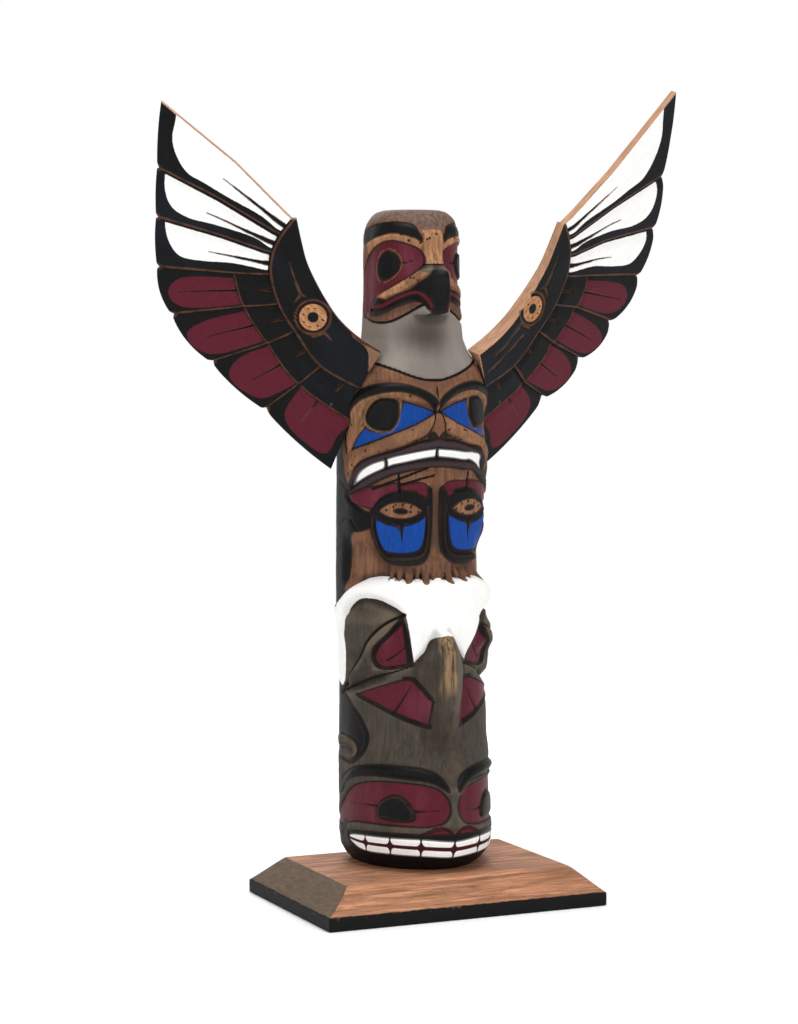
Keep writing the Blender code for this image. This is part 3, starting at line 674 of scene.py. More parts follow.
def paint_bear(work):
    """Stained forehead, black brows and lips, blue eyes with black pupils, rubbed cheeks and white teeth."""
    work.panel(None, body(((MID, 242.3), (0, 241.8), (12, 242.3), (27, 244.3), (46, 247.6), (70, 251),
                           (100, 253), (BACK, 254), (BACK, 254), (BACK, 100), (BACK, 100), (MID, 100),
                           (MID, 100))))
    work.panel("black", body(((106, 232), (102, 214), (95, 196), (87, 184.5), (87, 184.5), (84, 166),
                              (84, 166), (89, 158), (91, 146), (93, 138), (98, 130), (106, 124),
                              (BACK, 120), (BACK, 120), (BACK, 232), (BACK, 232))))
    work.knife(body(((MID, 242.3), (0, 241.8), (12, 242.3), (27, 244.3), (46, 247.6), (70, 251),
                     (96, 253))), 0.6, 1.1)
    work.knife(body(((-0.4, 241), (0.4, 236), (-0.3, 231))), 0.3, 0.5)
    work.panel("rubbed", body(((3, 227.5), (10, 232), (21, 235.5), (37.5, 238), (54, 237), (72.5, 233),
                               (90, 221), (92, 206), (92, 206), (80, 207), (46, 214), (3, 224))))
    work.panel("black", body(((1.4, 231.4), (10, 235.6), (27, 239.3), (47, 240.5), (68, 238.3),
                              (84.5, 232.3), (94, 223), (94, 223), (87, 223.5), (72.5, 232), (54, 236),
                              (37.5, 237), (21, 235), (10, 231.6), (3, 227.6), (3, 227.6))), groove=0.6)
    work.knife(body(((95, 223), (94, 215), (91, 206))), 0.8, 0.8)
    work.panel("rubbed", body(((3, 226.4), (3, 226.4), (10, 229.6), (34, 232.4), (55, 233.8), (70, 227),
                               (80, 215), (85, 207.6), (85, 207.6), (70, 210), (46, 215.2), (21, 220.6))),
               raised=-1.4, edge=2.0, groove=0.5)
    work.panel("blue", body(((34, 231.4), (34, 231.4), (20, 229.4), (3.4, 226), (3.4, 226), (21, 221),
                             (46, 215.7), (70, 210.6), (83.5, 208.2), (83.5, 208.2), (79, 212.5),
                             (69, 218.4), (69, 218.4), (61, 216.6), (52, 216.2), (44.5, 218), (39.6, 221.4),
                             (37, 226))), groove=0.4)
    pupil = body(((68, 224.4), (64, 229.2), (56, 232.6), (46, 233), (39.6, 231.4), (39, 225.5), (41.6, 221),
                  (46.5, 218.2), (53, 217.6), (60.5, 218.6), (66.5, 221)))
    work.panel("black", pupil, raised=1.0, edge=1.6, groove=0.5)
    work.worn_edge_glint(pupil, 1.1, 0.8)
    work.panel("rubbed", body(((4, 223.6), (10, 222.6), (21, 219.8), (46, 214.4), (70, 209.3), (85, 206.5),
                               (90, 196), (88, 190), (80, 196.5), (71, 202.6), (55, 206.6), (36, 209.6),
                               (20, 212.6), (10, 215.4), (6, 219.4))), groove=0.4)
    work.knife(body(((3, 226.6), (5, 221.6), (9, 216), (14, 213.6), (26, 211.6))), 0.5, 0.8, end_width=0.3)
    work.stroke("lip", body(((2.4, 213.8), (5.5, 215.4), (8.5, 213.8))), 0.6)
    work.panel("lip", body(((MID, 213), (0, 213), (18, 211.5), (36, 208.5), (55, 205.5), (71, 201.5),
                              (82, 195), (88, 187), (86, 183.4), (76, 186.6), (65, 190.3), (49, 194.8),
                              (36, 196.8), (5, 199.3), (MID, 199.3))), groove=0.7)
    work.panel("white", body(((MID, 208.1), (3.5, 208.1), (36, 205.6), (49, 203.6), (62, 201), (73, 196.5),
                              (81, 189.4), (81, 189.4), (65, 195), (46, 199.8), (36, 201), (3, 203.7),
                              (MID, 203.7))), raised=-0.7, edge=1.4, groove=0.5)
    part_teeth(work, 0, 203.4, 208.6)


def part_teeth(work, degrees, low, high):
    """A gap between two of the bear's teeth, wider where it meets the lower lip."""
    work.stroke("lip", body(((degrees, high), (degrees + 0.6, low))), 0.4)
    work.stroke("lip", body(((degrees + 0.5, low + 1.0), (degrees + 0.7, low - 0.6))), 0.5, end_width=1.4)
    work.knife(body(((degrees, high), (degrees + 0.6, low))), 0.4, 0.8)


def cut_left_cheek(work):
    """What the bear's left half alone carries: a second gap in the teeth and two long cuts on the chin."""
    part_teeth(work, 49, 198.8, 204.2)
    work.knife(body(((62, 188.6), (46, 192), (30, 195), (10, 198.4))), 0.7, 1.1, end_width=0.6)
    work.knife(body(((36, 190.6), (18, 193), (2, 194.8))), 0.7, 0.9, end_width=0.55)


def paint_paws(work):
    """On each side: a bent arm, a raised paw with a dark red cuff, an almond eye and a blue palm."""
    work.panel("black", body(((112, 192), (94, 188), (83, 181.6), (63, 175.4), (61, 171), (61, 171),
                              (70, 168), (84, 166), (92, 160), (112, 154), (112, 154))), groove=0.4)
    work.stroke("rubbed", body(((90, 186), (76, 180.4), (62, 175.6), (62, 170), (61, 163))), 0.4)
    work.knife(body(((92, 184), (76, 178.8), (64, 174))), 0.4, 0.9)
    work.knife(body(((100, 170), (86, 173), (76, 167.5))), 0.4, 0.8)
    work.panel("black", body(((7, 188), (6.4, 170), (8.4, 158), (14, 152.6), (25, 150.8), (42, 151.2),
                              (54, 153.4), (60.5, 158), (63, 168), (63.4, 177), (63.4, 177), (54, 184),
                              (38, 187.4), (22, 186.8), (10, 187.6))), raised=2.0, edge=3.0, groove=0.9)
    work.panel("maroon", body(((87, 183.4), (76, 187), (64, 189.3), (40, 191.4), (40, 191.4), (39, 187.8),
                               (39, 187.8), (51, 185.4), (62, 179), (62, 179), (72, 180), (82, 181.8))),
               raised=0.3, groove=0.3)
    work.panel("maroon", body(((36.6, 191), (36.6, 191), (17, 191.2), (9, 188.6), (12, 183.6), (12, 183.6),
                               (24, 187.2), (36.6, 188), (36.6, 188))), raised=0.3, groove=0.3)
    work.knife(body(((38.4, 195.6), (37.8, 186.6))), 0.65, 0.9, end_width=0.5)
    work.stroke("rubbed", body(((10.4, 180), (9.6, 168), (12, 158.4), (19, 154.6), (33, 153.6), (49, 154.4),
                                (57, 158), (60, 168), (60.6, 175))), 0.4)
    work.knife(body(((12, 176), (11.4, 166), (14, 158.6), (21, 155.8), (33, 154.9), (48, 155.8), (55, 159),
                     (58, 168), (58.6, 173))), 0.5, 0.9)
    work.panel("blue", body(((11.6, 175.6), (11.6, 175.6), (23, 172.4), (37, 170.6), (48, 171.6),
                             (58.4, 174.6), (58.4, 174.6), (57.4, 168), (54.4, 160.4), (49, 157.2),
                             (33, 156.4), (20.6, 157.8), (15, 162), (12.6, 169))), raised=0.5, groove=0.4)
    work.panel("rubbed", body(((56.5, 178), (56.5, 178), (46, 181.8), (36, 182.6), (25, 181.4), (14.5, 178),
                               (14.5, 178), (25, 174.8), (36, 173.8), (47, 174.8))), raised=0.7, groove=0.6)
    work.panel("black", body(((42, 178), (38, 178.8), (33, 178.6), (30.4, 177.6), (33, 176.9), (38, 177))),
               raised=-0.3)
    for degrees, height in ((34, 180.9), (48, 178.4), (20, 177.6), (26.6, 179.8), (42, 180)):
        work.stroke("black", body(((degrees, height), (degrees + 0.3, height))), 0.04)
    work.knife(body(((35.6, 171.2), (35.6, 160.4))), 0.95, 0.9, end_width=0.15)
    for degrees in (46, 27):
        work.stroke("rubbed", body(((degrees, 172.3), (38, 170.4), (35.8, 167))), 0.15, end_width=0.4)
    work.knife(body(((5.6, 188), (4.6, 178), (5, 168), (7, 156))), 0.8, 1.2, end_width=0.3)
    work.knife(body(((38, 173), (20, 174.6), (11, 178.4))), 0.35, 0.5)
    work.knife(body(((38, 173), (50, 174), (60, 177.6))), 0.35, 0.5)


def paint_whale(work):
    """Grey wash, white snow with the flukes let into it, dark red panels, brows, eyes, nostrils and teeth."""
    work.panel("wash", body(((MID, 143.5), (MID, 143.5), (24, 144), (52, 144), (85, 136), (104, 126),
                             (BACK, 118), (BACK, 118), (BACK, -8), (BACK, -8), (MID, -8), (MID, -8))))
    work.panel("white", body(((MID, 144), (0, 144), (24, 143.6), (38, 143.8), (52, 144.8), (69, 143.2),
                              (85, 137.2), (105, 128.6), (114, 120), (118, 108), (116, 98), (108, 90.6),
                              (100, 88), (94.5, 90.6), (92, 96), (91, 105), (90.5, 121), (87, 127.5),
                              (78, 131.8), (70, 133.7), (56, 133.2), (41, 129.6), (31, 126.4), (31, 126.4),
                              (27, 116), (24, 102.4), (24, 102.4), (16, 107.6), (8, 115), (MID, 117.6),
                              (MID, 117.6))), groove=0.3)
    for middle, half, tip in TOES:
        work.panel(None, ((middle - half, 148), (middle - half, 148), (middle - half, 144.6),
                          (middle - 0.7 * half, tip + 1), (middle, tip), (middle + 0.6 * half, tip + 0.4),
                          (middle + half, 144.4), (middle + half, 148), (middle + half, 148)), groove=0.3)
        work.knife(((middle + half + 0.4, 146.4), (middle + half + 0.2, 143.4)), 0.2, 0.8, end_width=0.6)
    work.knife(body(((32, 126.2), (44, 122.8), (55, 116.8), (65, 108.6), (77, 99), (88, 92), (96, 87))),
               0.8, 1.3)
    work.panel("black", body(((34, 125.4), (34, 125.4), (28.5, 115), (24.4, 102), (24.4, 102), (30, 100.8),
                              (47, 99.2), (55, 100.4), (58.6, 105), (54, 110.6), (44, 117))), raised=-1.4,
               edge=3.0)
    work.panel("maroon", body(((33.6, 122.4), (33.6, 122.4), (43, 116.2), (53, 110), (57.6, 105), (54, 101),
                               (47, 99.8), (28.5, 101.6), (28.5, 101.6), (30.6, 109), (32, 115))),
               raised=-0.6, groove=0.3)
    work.knife(body(((47, 103.4), (39, 106.4), (31.4, 110))), 0.6, 0.6, end_width=0.3)
    work.knife(body(((98, 84.6), (86, 88.2), (74, 91), (58, 94.6), (38, 98.2), (25, 101))), 0.8, 0.8,
               end_width=0.4)
    work.stroke("black", body(((31, 94.2), (24, 93.8), (17, 89.6), (12.2, 85.4))), 0.9, end_width=0.5)
    work.stroke("black", body(((73, 84.6), (58, 81.4), (39, 76.2), (24, 72.8), (13, 71.2))), 0.3,
                end_width=0.9)
    work.panel("maroon", body(((73.5, 85.2), (73.5, 85.2), (52, 89.9), (31, 93.8), (25, 93.4), (17.6, 89.2),
                               (11, 83.8), (11, 83.8), (12, 77), (13.4, 71.6), (13.4, 71.6), (24, 73.6),
                               (39, 77), (58, 82.2))), raised=-0.6, groove=0.4)
    work.knife(body(((41, 77), (34, 83), (25.6, 91))), 0.65, 0.7, end_width=0.25)
    work.panel("black", body(((114, 90.4), (104, 88), (90, 83.4), (81.5, 79.8), (71, 74), (63.6, 66.6),
                              (64, 59.6), (71, 54), (82, 50.6), (94, 51), (108, 54), (116, 62), (118, 76))),
               raised=-0.5, groove=0.6)
    shell = body(((106, 62.6), (92, 63.6), (79, 62), (73.4, 57.6), (77, 53.6), (87, 52.4), (102, 53)))
    work.panel("wash", shell, raised=0.7, groove=0.6)
    work.worn_edge_glint(shell, -0.9, 0.5)
    work.stroke("black", body(((100, 57.4), (89, 58.4), (81, 57.4))), 0.8, end_width=0.5)
    work.stroke("wash", body(((92, 80.6), (80, 76), (71, 69.6), (67, 63), (70, 57.4))), 0.35)
    work.panel("black", body(((3.4, 42), (8, 47.2), (16, 49.8), (30, 51.2), (55, 51.2), (78, 48.2),
                              (94, 43), (106, 33), (106, 33), (98, 35), (86, 41.6), (70, 45.4), (50, 46.4),
                              (30, 45.8), (13, 44.4), (4, 40.4), (4, 40.4))), groove=0.6)
    work.panel("maroon", body(((3, 32), (4, 36), (8, 40), (14, 41.8), (30, 43.2), (54, 43), (75, 40),
                               (90, 34), (101, 27), (112, 20), (112, 20), (104, 17.4), (99, 18.2), (78, 22),
                               (54, 23), (30, 23), (17, 23), (8, 24.6), (4, 28))), raised=-1.1, edge=2.4,
               groove=0.6)
    pupil = body(((52.5, 30), (49, 34), (43, 36.4), (37, 37.2), (31, 35.6), (26, 31.4), (24.4, 27.6),
                  (26, 25.6), (32, 25), (42, 25.2), (50, 26), (52.4, 27.6)))
    work.panel("black", pupil, raised=1.0, edge=1.6, groove=0.6)
    work.worn_edge_glint(pupil, -0.75, 0.14)
    work.knife(body(((53, 31.4), (66, 31.2), (84, 30.6))), 0.6, 0.6, end_width=0.15)
    work.knife(body(((24, 30), (15, 30.2), (6.5, 31))), 0.6, 0.6, end_width=0.15)
    work.stroke("gum", body(((23, 17.6), (15, 20.8), (9, 22.4), (4, 21.6), (0, 18))), 0.7)
    work.panel("maroon", body(((20, 17.6), (13, 20), (8, 21.2), (4.4, 20.6), (1.4, 17.6), (9, 17))),
               raised=-0.4)
    work.panel("black", body(((MID, 7.2), (20, 8), (66, 8.2), (82, 10), (87, 14), (91, 20.5), (91, 20.5),
                              (97, 20), (97, 12), (104, 7), (BACK, 6), (BACK, 6), (BACK, -9), (BACK, -9),
                              (MID, -9), (MID, -9))))
    work.panel("black", body(((MID, 17.2), (20, 18.8), (40, 18.9), (65, 18), (86, 15.8), (88, 12.4),
                              (80, 9), (66, 6.8), (20, 6), (MID, 5))), raised=0.3, edge=2.0)
    work.panel("white", body(((MID, 15.9), (0, 15.9), (20, 17), (40, 17.1), (65, 16.6), (80, 15.4),
                              (85, 13.2), (80, 10.8), (66, 8.3), (42, 8.1), (20, 7.6), (0, 6.7),
                              (MID, 6.7))), groove=0.5)
    work.stroke("gum", body(((MID, 11.3), (0, 11.5), (20, 12.3), (42, 12.7), (66, 12.6), (84, 13.2))), 1.1,
                end_width=0.6)
    for degrees, middle in ((0, 11.5), (20.5, 12.4), (41, 12.7), (63, 12.6)):
        work.panel("gum", body([(degrees + u, middle + z) for u, z in TOOTH_GAP]), raised=-0.5)
        work.stroke("gum", body(((degrees, middle + 4.8), (degrees, middle - 4.4))), 0.36)


def paint_body(work, body_u, z, turned):
    """Lays the coats of the bear and the whale, with what is carved out of true on the right."""
    short = ease(np.degrees(turned), 30, 60) * ease(z, 168, 194) * ease(-z, -220, -209)
    work.u = body_u + BODY_CHART * np.radians(RIGHT_MOUTH_SHORTER) * short
    work.z = z - RIGHT_MOUTH_HIGHER * short
    paint_bear(work)
    work.u = np.where(turned < 0.0, body_u, OFF_CHART)
    cut_left_cheek(work)
    work.u = body_u
    work.z = z
    paint_paws(work)
    shift, drop = right_fluke_shift(np.degrees(turned), z)
    work.u = body_u - BODY_CHART * np.radians(shift)
    work.z = z + drop
    paint_whale(work)


def painted_shade_share(work, turned, height, z, body_u):
    """How dark the painted shade lies: under the jaw, on the neck and cheek, between the paws, beside the
    flukes and round the fin.
    """
    turn = np.abs(turned)
    throat = np.hypot((BIRD_CHART * turned + 5.0) / 1.9, (height - 264.5) / 1.25)
    left_neck = ease(np.degrees(-turned), 30, 80) * ease(height, 246, 256) * ease(-height, -290, -282)
    left_neck = left_neck * (work.coats["neck"] > 0.0)
    chin = away(BIRD_CHART * turn, height, bird(((88, 273.6), (66, 274.2), (46, 276.6), (26, 279.4))))
    cheek = ease(np.degrees(turned), 52, 75) * ease(-np.degrees(turned), -100, -84)
    cheek = cheek * ease(z, 186, 192) * ease(-z, -216, -206)
    between_paws = ease(-np.abs(BODY_CHART * turned), -6.0, -2.5) * ease(z, 154, 162) * ease(-z, -193, -184)
    feet = ease(z, 142, 145) * ease(-z, -158, -150) * ease(-body_u, -34, -27) * (work.coats["white"] < -0.5)
    waist = away(work.u, work.z, body(((86, 93), (74, 95.6), (62, 98.6))))
    before_fin = np.hypot(BODY_CHART * turned / 1.6, (height - 74) / 0.9)
    fin_top = away(BODY_CHART * turn, height, body(((6, 117.5), (10, 113), (16, 108), (24, 102.6))))
    curl = np.hypot((body_u - BODY_CHART * math.radians(90)) / 1.5, height - 58)
    return np.maximum.reduce([ease(-throat, -12, -1), 0.4 * left_neck, 0.6 * ease(-chin, -3.0, -1.0),
                              0.5 * cheek, 0.9 * between_paws, 0.4 * feet, 0.9 * ease(-waist, -3.4, -0.8),
                              0.5 * ease(-before_fin, -9, -2), 0.6 * ease(-fin_top, -3.0, 0.2),
                              0.5 * ease(-curl, -7, -5)])


def carve_pole(sizes):
    """The pole's points in metres, and its values, on a grid of heights and angles."""
    edge = math.radians(FRONT_EDGE)
    angles = np.concatenate([np.linspace(-edge, edge, sizes.columns_front),
                             np.linspace(edge, 2 * math.pi - edge, sizes.columns_back + 2)[1:-1]])
    angle, height = np.meshgrid(angles, np.linspace(0.0, DRAWN_HEIGHT, sizes.rows))
    turned = np.where(angle > math.pi, angle - 2 * math.pi, angle)
    side = np.sign(turned)
    turn = np.abs(turned)
    off_centre = ease(turn, 0.02, 0.4)
    sway = 0.6 * off_centre * value_noise(turned * 30 + 9, height + 90 * side, 26, 3)
    z = height + 0.7 * off_centre * value_noise(turned * 30, height + 140 * side, 31, 8) * (height < 320)
    work = Carving(BIRD_CHART * turn + sway, z + 1.3 * ease(height, 292, 305), POLE_COATS)
    front = ease(-turn, -math.radians(118), -math.radians(100))
    upper = ease(height, 262, 266)
    paint_bird(work)
    forms = bird_forms(work.u, work.z) * upper
    body_u = BODY_CHART * turn + sway
    paint_body(work, body_u, z, turned)
    forms += (bear_forms(body_u, z) + claw_forms(body_u, z) + whale_forms(work.u, work.z)) * (1.0 - upper)
    facets = BODY_CHART * turned
    tool_marks = 0.16 * value_noise(facets, z, 5.0, 21) + 0.10 * value_noise(facets, z, 2.3, 22)
    painted = np.max([work.coats[name] for name in ("black", "maroon", "blue", "white", "neck")], axis=0)
    tool_marks *= 1.0 - 0.7 * ease(painted, -0.5, 0.5)
    back = sizes.back_depth / sizes.half_width * DRAWN_HALF_WIDTH
    relief = front * (forms + work.relief) + tool_marks
    radius = plain_radius(angle, height, back) + sizes.relief * relief
    # How proud each place stands: the shader wears the crests, paints shade in the hollows and paints
    # highlight on the lips
    proud = relief - spread(relief, CREST_CELLS)
    crest = proud / (np.abs(proud) + CREST_SOFTNESS)
    across = sizes.half_width / DRAWN_HALF_WIDTH
    crown = sizes.top_round_height / sizes.height * DRAWN_HEIGHT
    rise = np.clip((height - (DRAWN_HEIGHT - crown)) / crown, 0.0, 0.999)
    radius = radius - sizes.top_round_width / across * (1.0 - np.sqrt(1.0 - rise ** 2))
    points = np.stack([radius * np.sin(angle) * across, sizes.axis_back - radius * np.cos(angle) * across,
                       POLE_BOX[0].z + height * sizes.height / DRAWN_HEIGHT], axis=-1)
    values = {name: np.clip(field, -FAR, FAR) for name, field in work.coats.items()}
    # The knife cuts' share of each cell, which the shader paints dark as shade in the cut
    values["lines"] = work.lines
    values["glint"] = work.glint
    values["crest"] = crest
    # Painted shade: the hollows and the shaded sides that the shader darkens
    values["painted_shade"] = painted_shade_share(work, turned, height, z, body_u)
    fin = np.abs(BODY_CHART * turned + 1.1) + 0.9 * value_noise(turned * 36, height, 5.0, 61)
    values["fin"] = ease(-fin, -3.8, -2.2) * ease(height, 84, 95) * ease(-height, -119, -116.5)
    return angles, points, values


def close_pole(points, values, sizes):
    """Rings that draw in to a point on the nearly level top, and one fan under the foot."""
    rows, columns = points.shape[:2]
    share = (np.arange(1, TOP_RINGS + 1) / (TOP_RINGS + 1.0))[:, None, None]
    centre = np.array([0.0, sizes.axis_back, points[-1, :, 2].mean()])
    rings = points[-1][None] * (1.0 - share) + centre * share
    skin = np.vstack([points.reshape(-1, 3), rings.reshape(-1, 3), centre[None],
                      np.array([[0.0, sizes.axis_back, points[0, 0, 2]]])])
    total_rows = rows + TOP_RINGS
    spread_values = {}
    for key, field in values.items():
        caps = np.concatenate([np.tile(field[-1], TOP_RINGS), [field[-1].mean(), field[0].mean()]])
        spread_values[key] = np.concatenate([field.ravel(), caps])
    return skin, grid_faces(total_rows, columns, True), end_fans(total_rows, columns), spread_values


# The wings: seven feathers and their coverts under an arm, flat as (out, up) in millimetres from the shoulder

ARM_INNER = ((31, 72), (28.5, 60), (26, 50), (22, 40.5), (16.5, 30), (10, 20), (1, 11), (-10, 3.5))
ARM_OUTER = ((33, 72), (39, 64), (43, 55), (44, 44), (40, 29), (32, 15), (19, -3), (-5, -17))
COVERT_EDGE = ((60, 100), (68, 82), (68, 64), (62, 45), (57, 28), (45.5, 9), (30, -12), (3, -32))
LEFT_ENDS = ((95, 129.5), (97.5, 98), (98.5, 73.5), (98.5, 48.5), (92, 24.5), (73, 0), (46.5, -25),
             (14, -56))
LEFT_BOWS = ((97.5, 114), (99, 86), (100, 61.5), (99.5, 35), (86.5, 9), (62, -15), (32, -42.5))
RIGHT_ENDS = ((95.5, 143.5), (101.5, 100.5), (105, 72.5), (102, 46.5), (88.5, 21), (70.5, 0.5), (48, -20.5),
              (14, -55))
RIGHT_BOWS = ((101, 123.5), (108, 85.5), (108.5, 58.5), (104.5, 30), (87.5, 5), (66, -16), (35, -40))
NOTCH = 1.6
FEATHERS = 7
FIRST_COVERT = 3
FEATHER_COLUMNS = 36
ARM_ROWS = 34
COVERT_ROWS = 34
TIP_ROWS = 62
WING_COATS = ("white", "maroon", "cedar", "bare")

# Painted panels: (feather, coat, outline on the left wing)
PANELS = (
    (0, "white", ((38, 66), (48, 74), (62, 82), (75, 90), (83, 95), (88, 103), (90, 112), (88, 123),
                  (88, 138), (88, 138), (26, 84), (26, 84), (28, 66), (28, 66))),
    (1, "white", ((41, 56.5), (51, 63), (62, 67), (72, 70), (83, 73), (91, 78.5), (94, 88), (93, 101),
                  (93, 101), (36, 74), (36, 74), (34, 58), (34, 58))),
    (2, "white", ((42, 46), (52.5, 48.5), (62.7, 50.5), (76, 51.5), (86.5, 53.5), (91.5, 59), (94, 67),
                  (94, 78), (94, 78), (38, 62), (38, 62), (36, 46), (36, 46))),
    (3, "maroon", ((50, 42), (60, 42.4), (75, 43.4), (87, 42.8), (92.6, 38.5), (92.6, 33), (87, 28.6),
                  (75, 28), (50, 30.5), (50, 30.5))),
    (4, "maroon", ((45, 28), (54, 26.2), (65, 24), (76, 21), (84, 16), (83, 10), (76, 4.8), (68, 4.6),
                  (59, 7), (42, 12.4), (42, 12.4))),
    (5, "maroon", ((38, 12), (46, 8.4), (54, 4.8), (60.5, 0.8), (64, -4.4), (63, -9.6), (57, -15),
                  (49, -18.6), (42, -16.6), (26, -8), (26, -8))),
    (6, "maroon", ((24, -8), (30, -15), (34.5, -21), (37, -27.4), (34, -34.8), (27, -41.8), (20, -47),
                  (15, -46.6), (10, -37.4), (0, -29), (0, -29))),
)

# Cuts along a feather: (feather, first row, last row, half width in millimetres, share of the width)
SLITS = ((0, 1.0, 2.05, 1.2, 0.5), (1, 1.0, 2.2, 1.2, 0.5), (2, 1.0, 2.25, 1.1, 0.5),
         (3, 2.0, 2.75, 0.6, 0.5), (4, 2.0, 2.68, 0.6, 0.5), (5, 2.0, 2.6, 0.6, 0.5),
         (6, 2.0, 2.6, 0.6, 0.4), (3, 1.0, 1.5, 0.5, 0.5), (4, 1.0, 1.5, 0.5, 0.5),
         (5, 1.0, 1.45, 0.5, 0.5), (6, 1.0, 1.45, 0.5, 0.5))

# The ringed eye at each shoulder, the cuts that run off it as (line, half width at each end), and the
# long cuts on the right arm
EYE_LEFT = (23.0, 23.0)
EYE_RIGHT = (22.5, 27.5)
EYE_DOTS = 8
EYE_DOT_RADIUS = 4.9
EYE_MARKS = (
    (((29, 34.5), (31.5, 41), (34.5, 51)), 0.9, 0.2),
    (((29, 34.5), (32.7, 29.3)), 0.9, 0.2),
    (((29, 34.5), (26, 33)), 0.8, 0.3),
    (((24.8, 12.6), (21, 13.6), (17.3, 15)), 0.4, 0.9),
    (((17.3, 15), (14.5, 12), (12, 9)), 0.9, 0.2),
)
ARM_CUTS = (((3, 3), (9, 9), (16, 17.5)), ((0, -6), (10, 3), (20, 13.5)))

# In millimetres: the left wing's bare root and its rounding, and the part of its edge that stays dark
ROOT_BARE = 4.4
ROOT_ROUND = 3.4
ROOT_WALL = 14.0
ROOT_WALL_TOP = 24.0

# Shares: how far down the board's edge its first step lies, bare and painted, and where it stops thinning
WALL_LAP = 0.3
PAINTED_LAP = 0.85
THINNING_REACH = 0.42

# Metres between a wing and the pole
FIT_GAP = 0.0003


def even_ends(count):
    """Shares from 0 to 1 that lie closer together at both ends and in the middle, by a sine of 4 pi x."""
    x = np.linspace(0.0, 1.0, count + 1)
    return x - 0.86 * np.sin(4.0 * np.pi * x) / (4.0 * np.pi)


def fan_line(knots, place_in_fan):
    """A smooth line through one knot for each edge between feathers, read at places 0 to 7."""
    line = smooth_line(knots, 16)
    at = np.linspace(0.0, len(knots) - 1.0, len(line))
    return np.stack([np.interp(place_in_fan, at, line[:, i]) for i in (0, 1)], axis=-1)


def feather_tips(place_in_fan, ends, bows):
    """The outer outline: a bow from corner to corner, drawn in to a small notch between two feathers."""
    corners = np.array(ends, dtype=float)
    feather = np.minimum(place_in_fan.astype(int), FEATHERS - 1)
    share = (place_in_fan - feather)[:, None]
    bow = np.array(bows, dtype=float)[feather]
    out = bow - np.array([30.0, 30.0])
    first_end = (feather[:, None] > 0) * (1.0 - ease(share, 0.0, 0.07))
    last_end = (feather[:, None] < FEATHERS - 1) * ease(share, 0.93, 1.0)
    inset = NOTCH * out / np.linalg.norm(out, axis=1)[:, None] * (first_end + last_end)
    start = corners[feather]
    stop = corners[feather + 1]
    return (1 - share) ** 2 * start + 2 * share * (1 - share) * bow + share ** 2 * stop - inset


class WingBoard:
    """One wing's board: where its shoulder is, which way it runs, and how it clears the pole."""

    def __init__(self, side, sizes, angles, pole_points, pole_sizes):
        sweep = sizes.sweep
        lean = sizes.lean
        self.out = np.array([side * math.cos(sweep), math.sin(sweep), 0.0])
        behind = np.array([-side * math.sin(sweep), math.cos(sweep), 0.0])
        self.up = np.array([0.0, 0.0, math.cos(lean)]) - behind * math.sin(lean)
        self.face = -(behind * math.cos(lean) + np.array([0.0, 0.0, math.sin(lean)]))
        self.shoulder = np.array([side * (pole_sizes.half_width - sizes.root_inset), 0.0,
                                  BASE_BOX[1].z + sizes.root_height])
        self.axis = np.array([0.0, pole_sizes.axis_back])
        self.angles = angles
        self.radii = np.hypot(pole_points[..., 0], pole_points[..., 1] - pole_sizes.axis_back)
        self.heights = pole_points[:, 0, 2]

    def place(self, flat, depth):
        """Points in metres from flat (out, up) metres and a depth behind the front face."""
        on_face = self.shoulder + flat[..., :1] * self.out + flat[..., 1:] * self.up
        return on_face - depth[..., None] * self.face

    def pole_radius(self, points):
        """The pole's radius beside each point, read off its grid between the four nearest places."""
        x, y = points[..., 0], points[..., 1] - self.axis[1]
        angle = np.arctan2(x, -y)
        columns = len(self.angles)
        angle = np.where(angle < self.angles[0], angle + 2 * math.pi, angle)
        column = np.clip(np.searchsorted(self.angles, angle) - 1, 0, columns - 2)
        across = np.clip((angle - self.angles[column]) / (self.angles[column + 1] - self.angles[column]), 0,
                         1)
        row_at = np.interp(points[..., 2], self.heights, np.arange(len(self.heights)))
        row = np.clip(row_at.astype(int), 0, len(self.heights) - 2)
        upward = row_at - row
        low = self.radii[row, column] * (1 - across) + self.radii[row, column + 1] * across
        high = self.radii[row + 1, column] * (1 - across) + self.radii[row + 1, column + 1] * across
        return low * (1 - upward) + high * upward

    def clear(self, flat, depth, gap):
        """Slides flat points outwards until they stand a gap off the pole."""
        flat = flat.copy()
        for _ in range(8):
            points = self.place(flat, depth)
            offset = points[..., :2] - self.axis
            reach = np.linalg.norm(offset, axis=-1)
            short = self.pole_radius(points) + gap - reach
            slope = np.maximum((offset @ self.out[:2]) / reach, 0.35)
            flat[..., 0] += np.maximum(short, 0.0) / slope
        return flat


def fan_lines(ends, bows, places):
    """The four lines that bound the arm, the coverts and the tips, at places in the fan, as drawn."""
    return np.stack([fan_line(ARM_INNER, places), fan_line(ARM_OUTER, places),
                     fan_line(COVERT_EDGE, places), feather_tips(places, ends, bows)])


def fan_grid(board, sizes, ends, bows, thick):
    """Flat places in metres of every row and column: the front's when thick is 0, and the back's when 1."""
    places = np.concatenate([k + even_ends(FEATHER_COLUMNS)[:-1] for k in range(FEATHERS)]
                            + [[float(FEATHERS)]])
    rows = np.concatenate([even_ends(ARM_ROWS)[:-1], 1.0 + even_ends(COVERT_ROWS)[:-1],
                           2.0 + even_ends(TIP_ROWS)])
    drawn = np.max(np.array(LEFT_ENDS, dtype=float), axis=0)
    lines = fan_lines(ends, bows, places) * np.array([sizes.length, sizes.height]) / drawn
    lines = board.clear(lines, thick * thickness(lines, sizes), FIT_GAP)
    span = np.minimum(rows.astype(int), 2)
    share = (rows - span)[:, None, None]
    flat = lines[span] * (1.0 - share) + lines[span + 1] * share
    flat = board.clear(flat, thick * thickness(flat, sizes), FIT_GAP)
    left = fan_lines(LEFT_ENDS, LEFT_BOWS, places)
    drawn_flat = left[span] * (1.0 - share) + left[span + 1] * share
    return places, rows, flat, drawn_flat


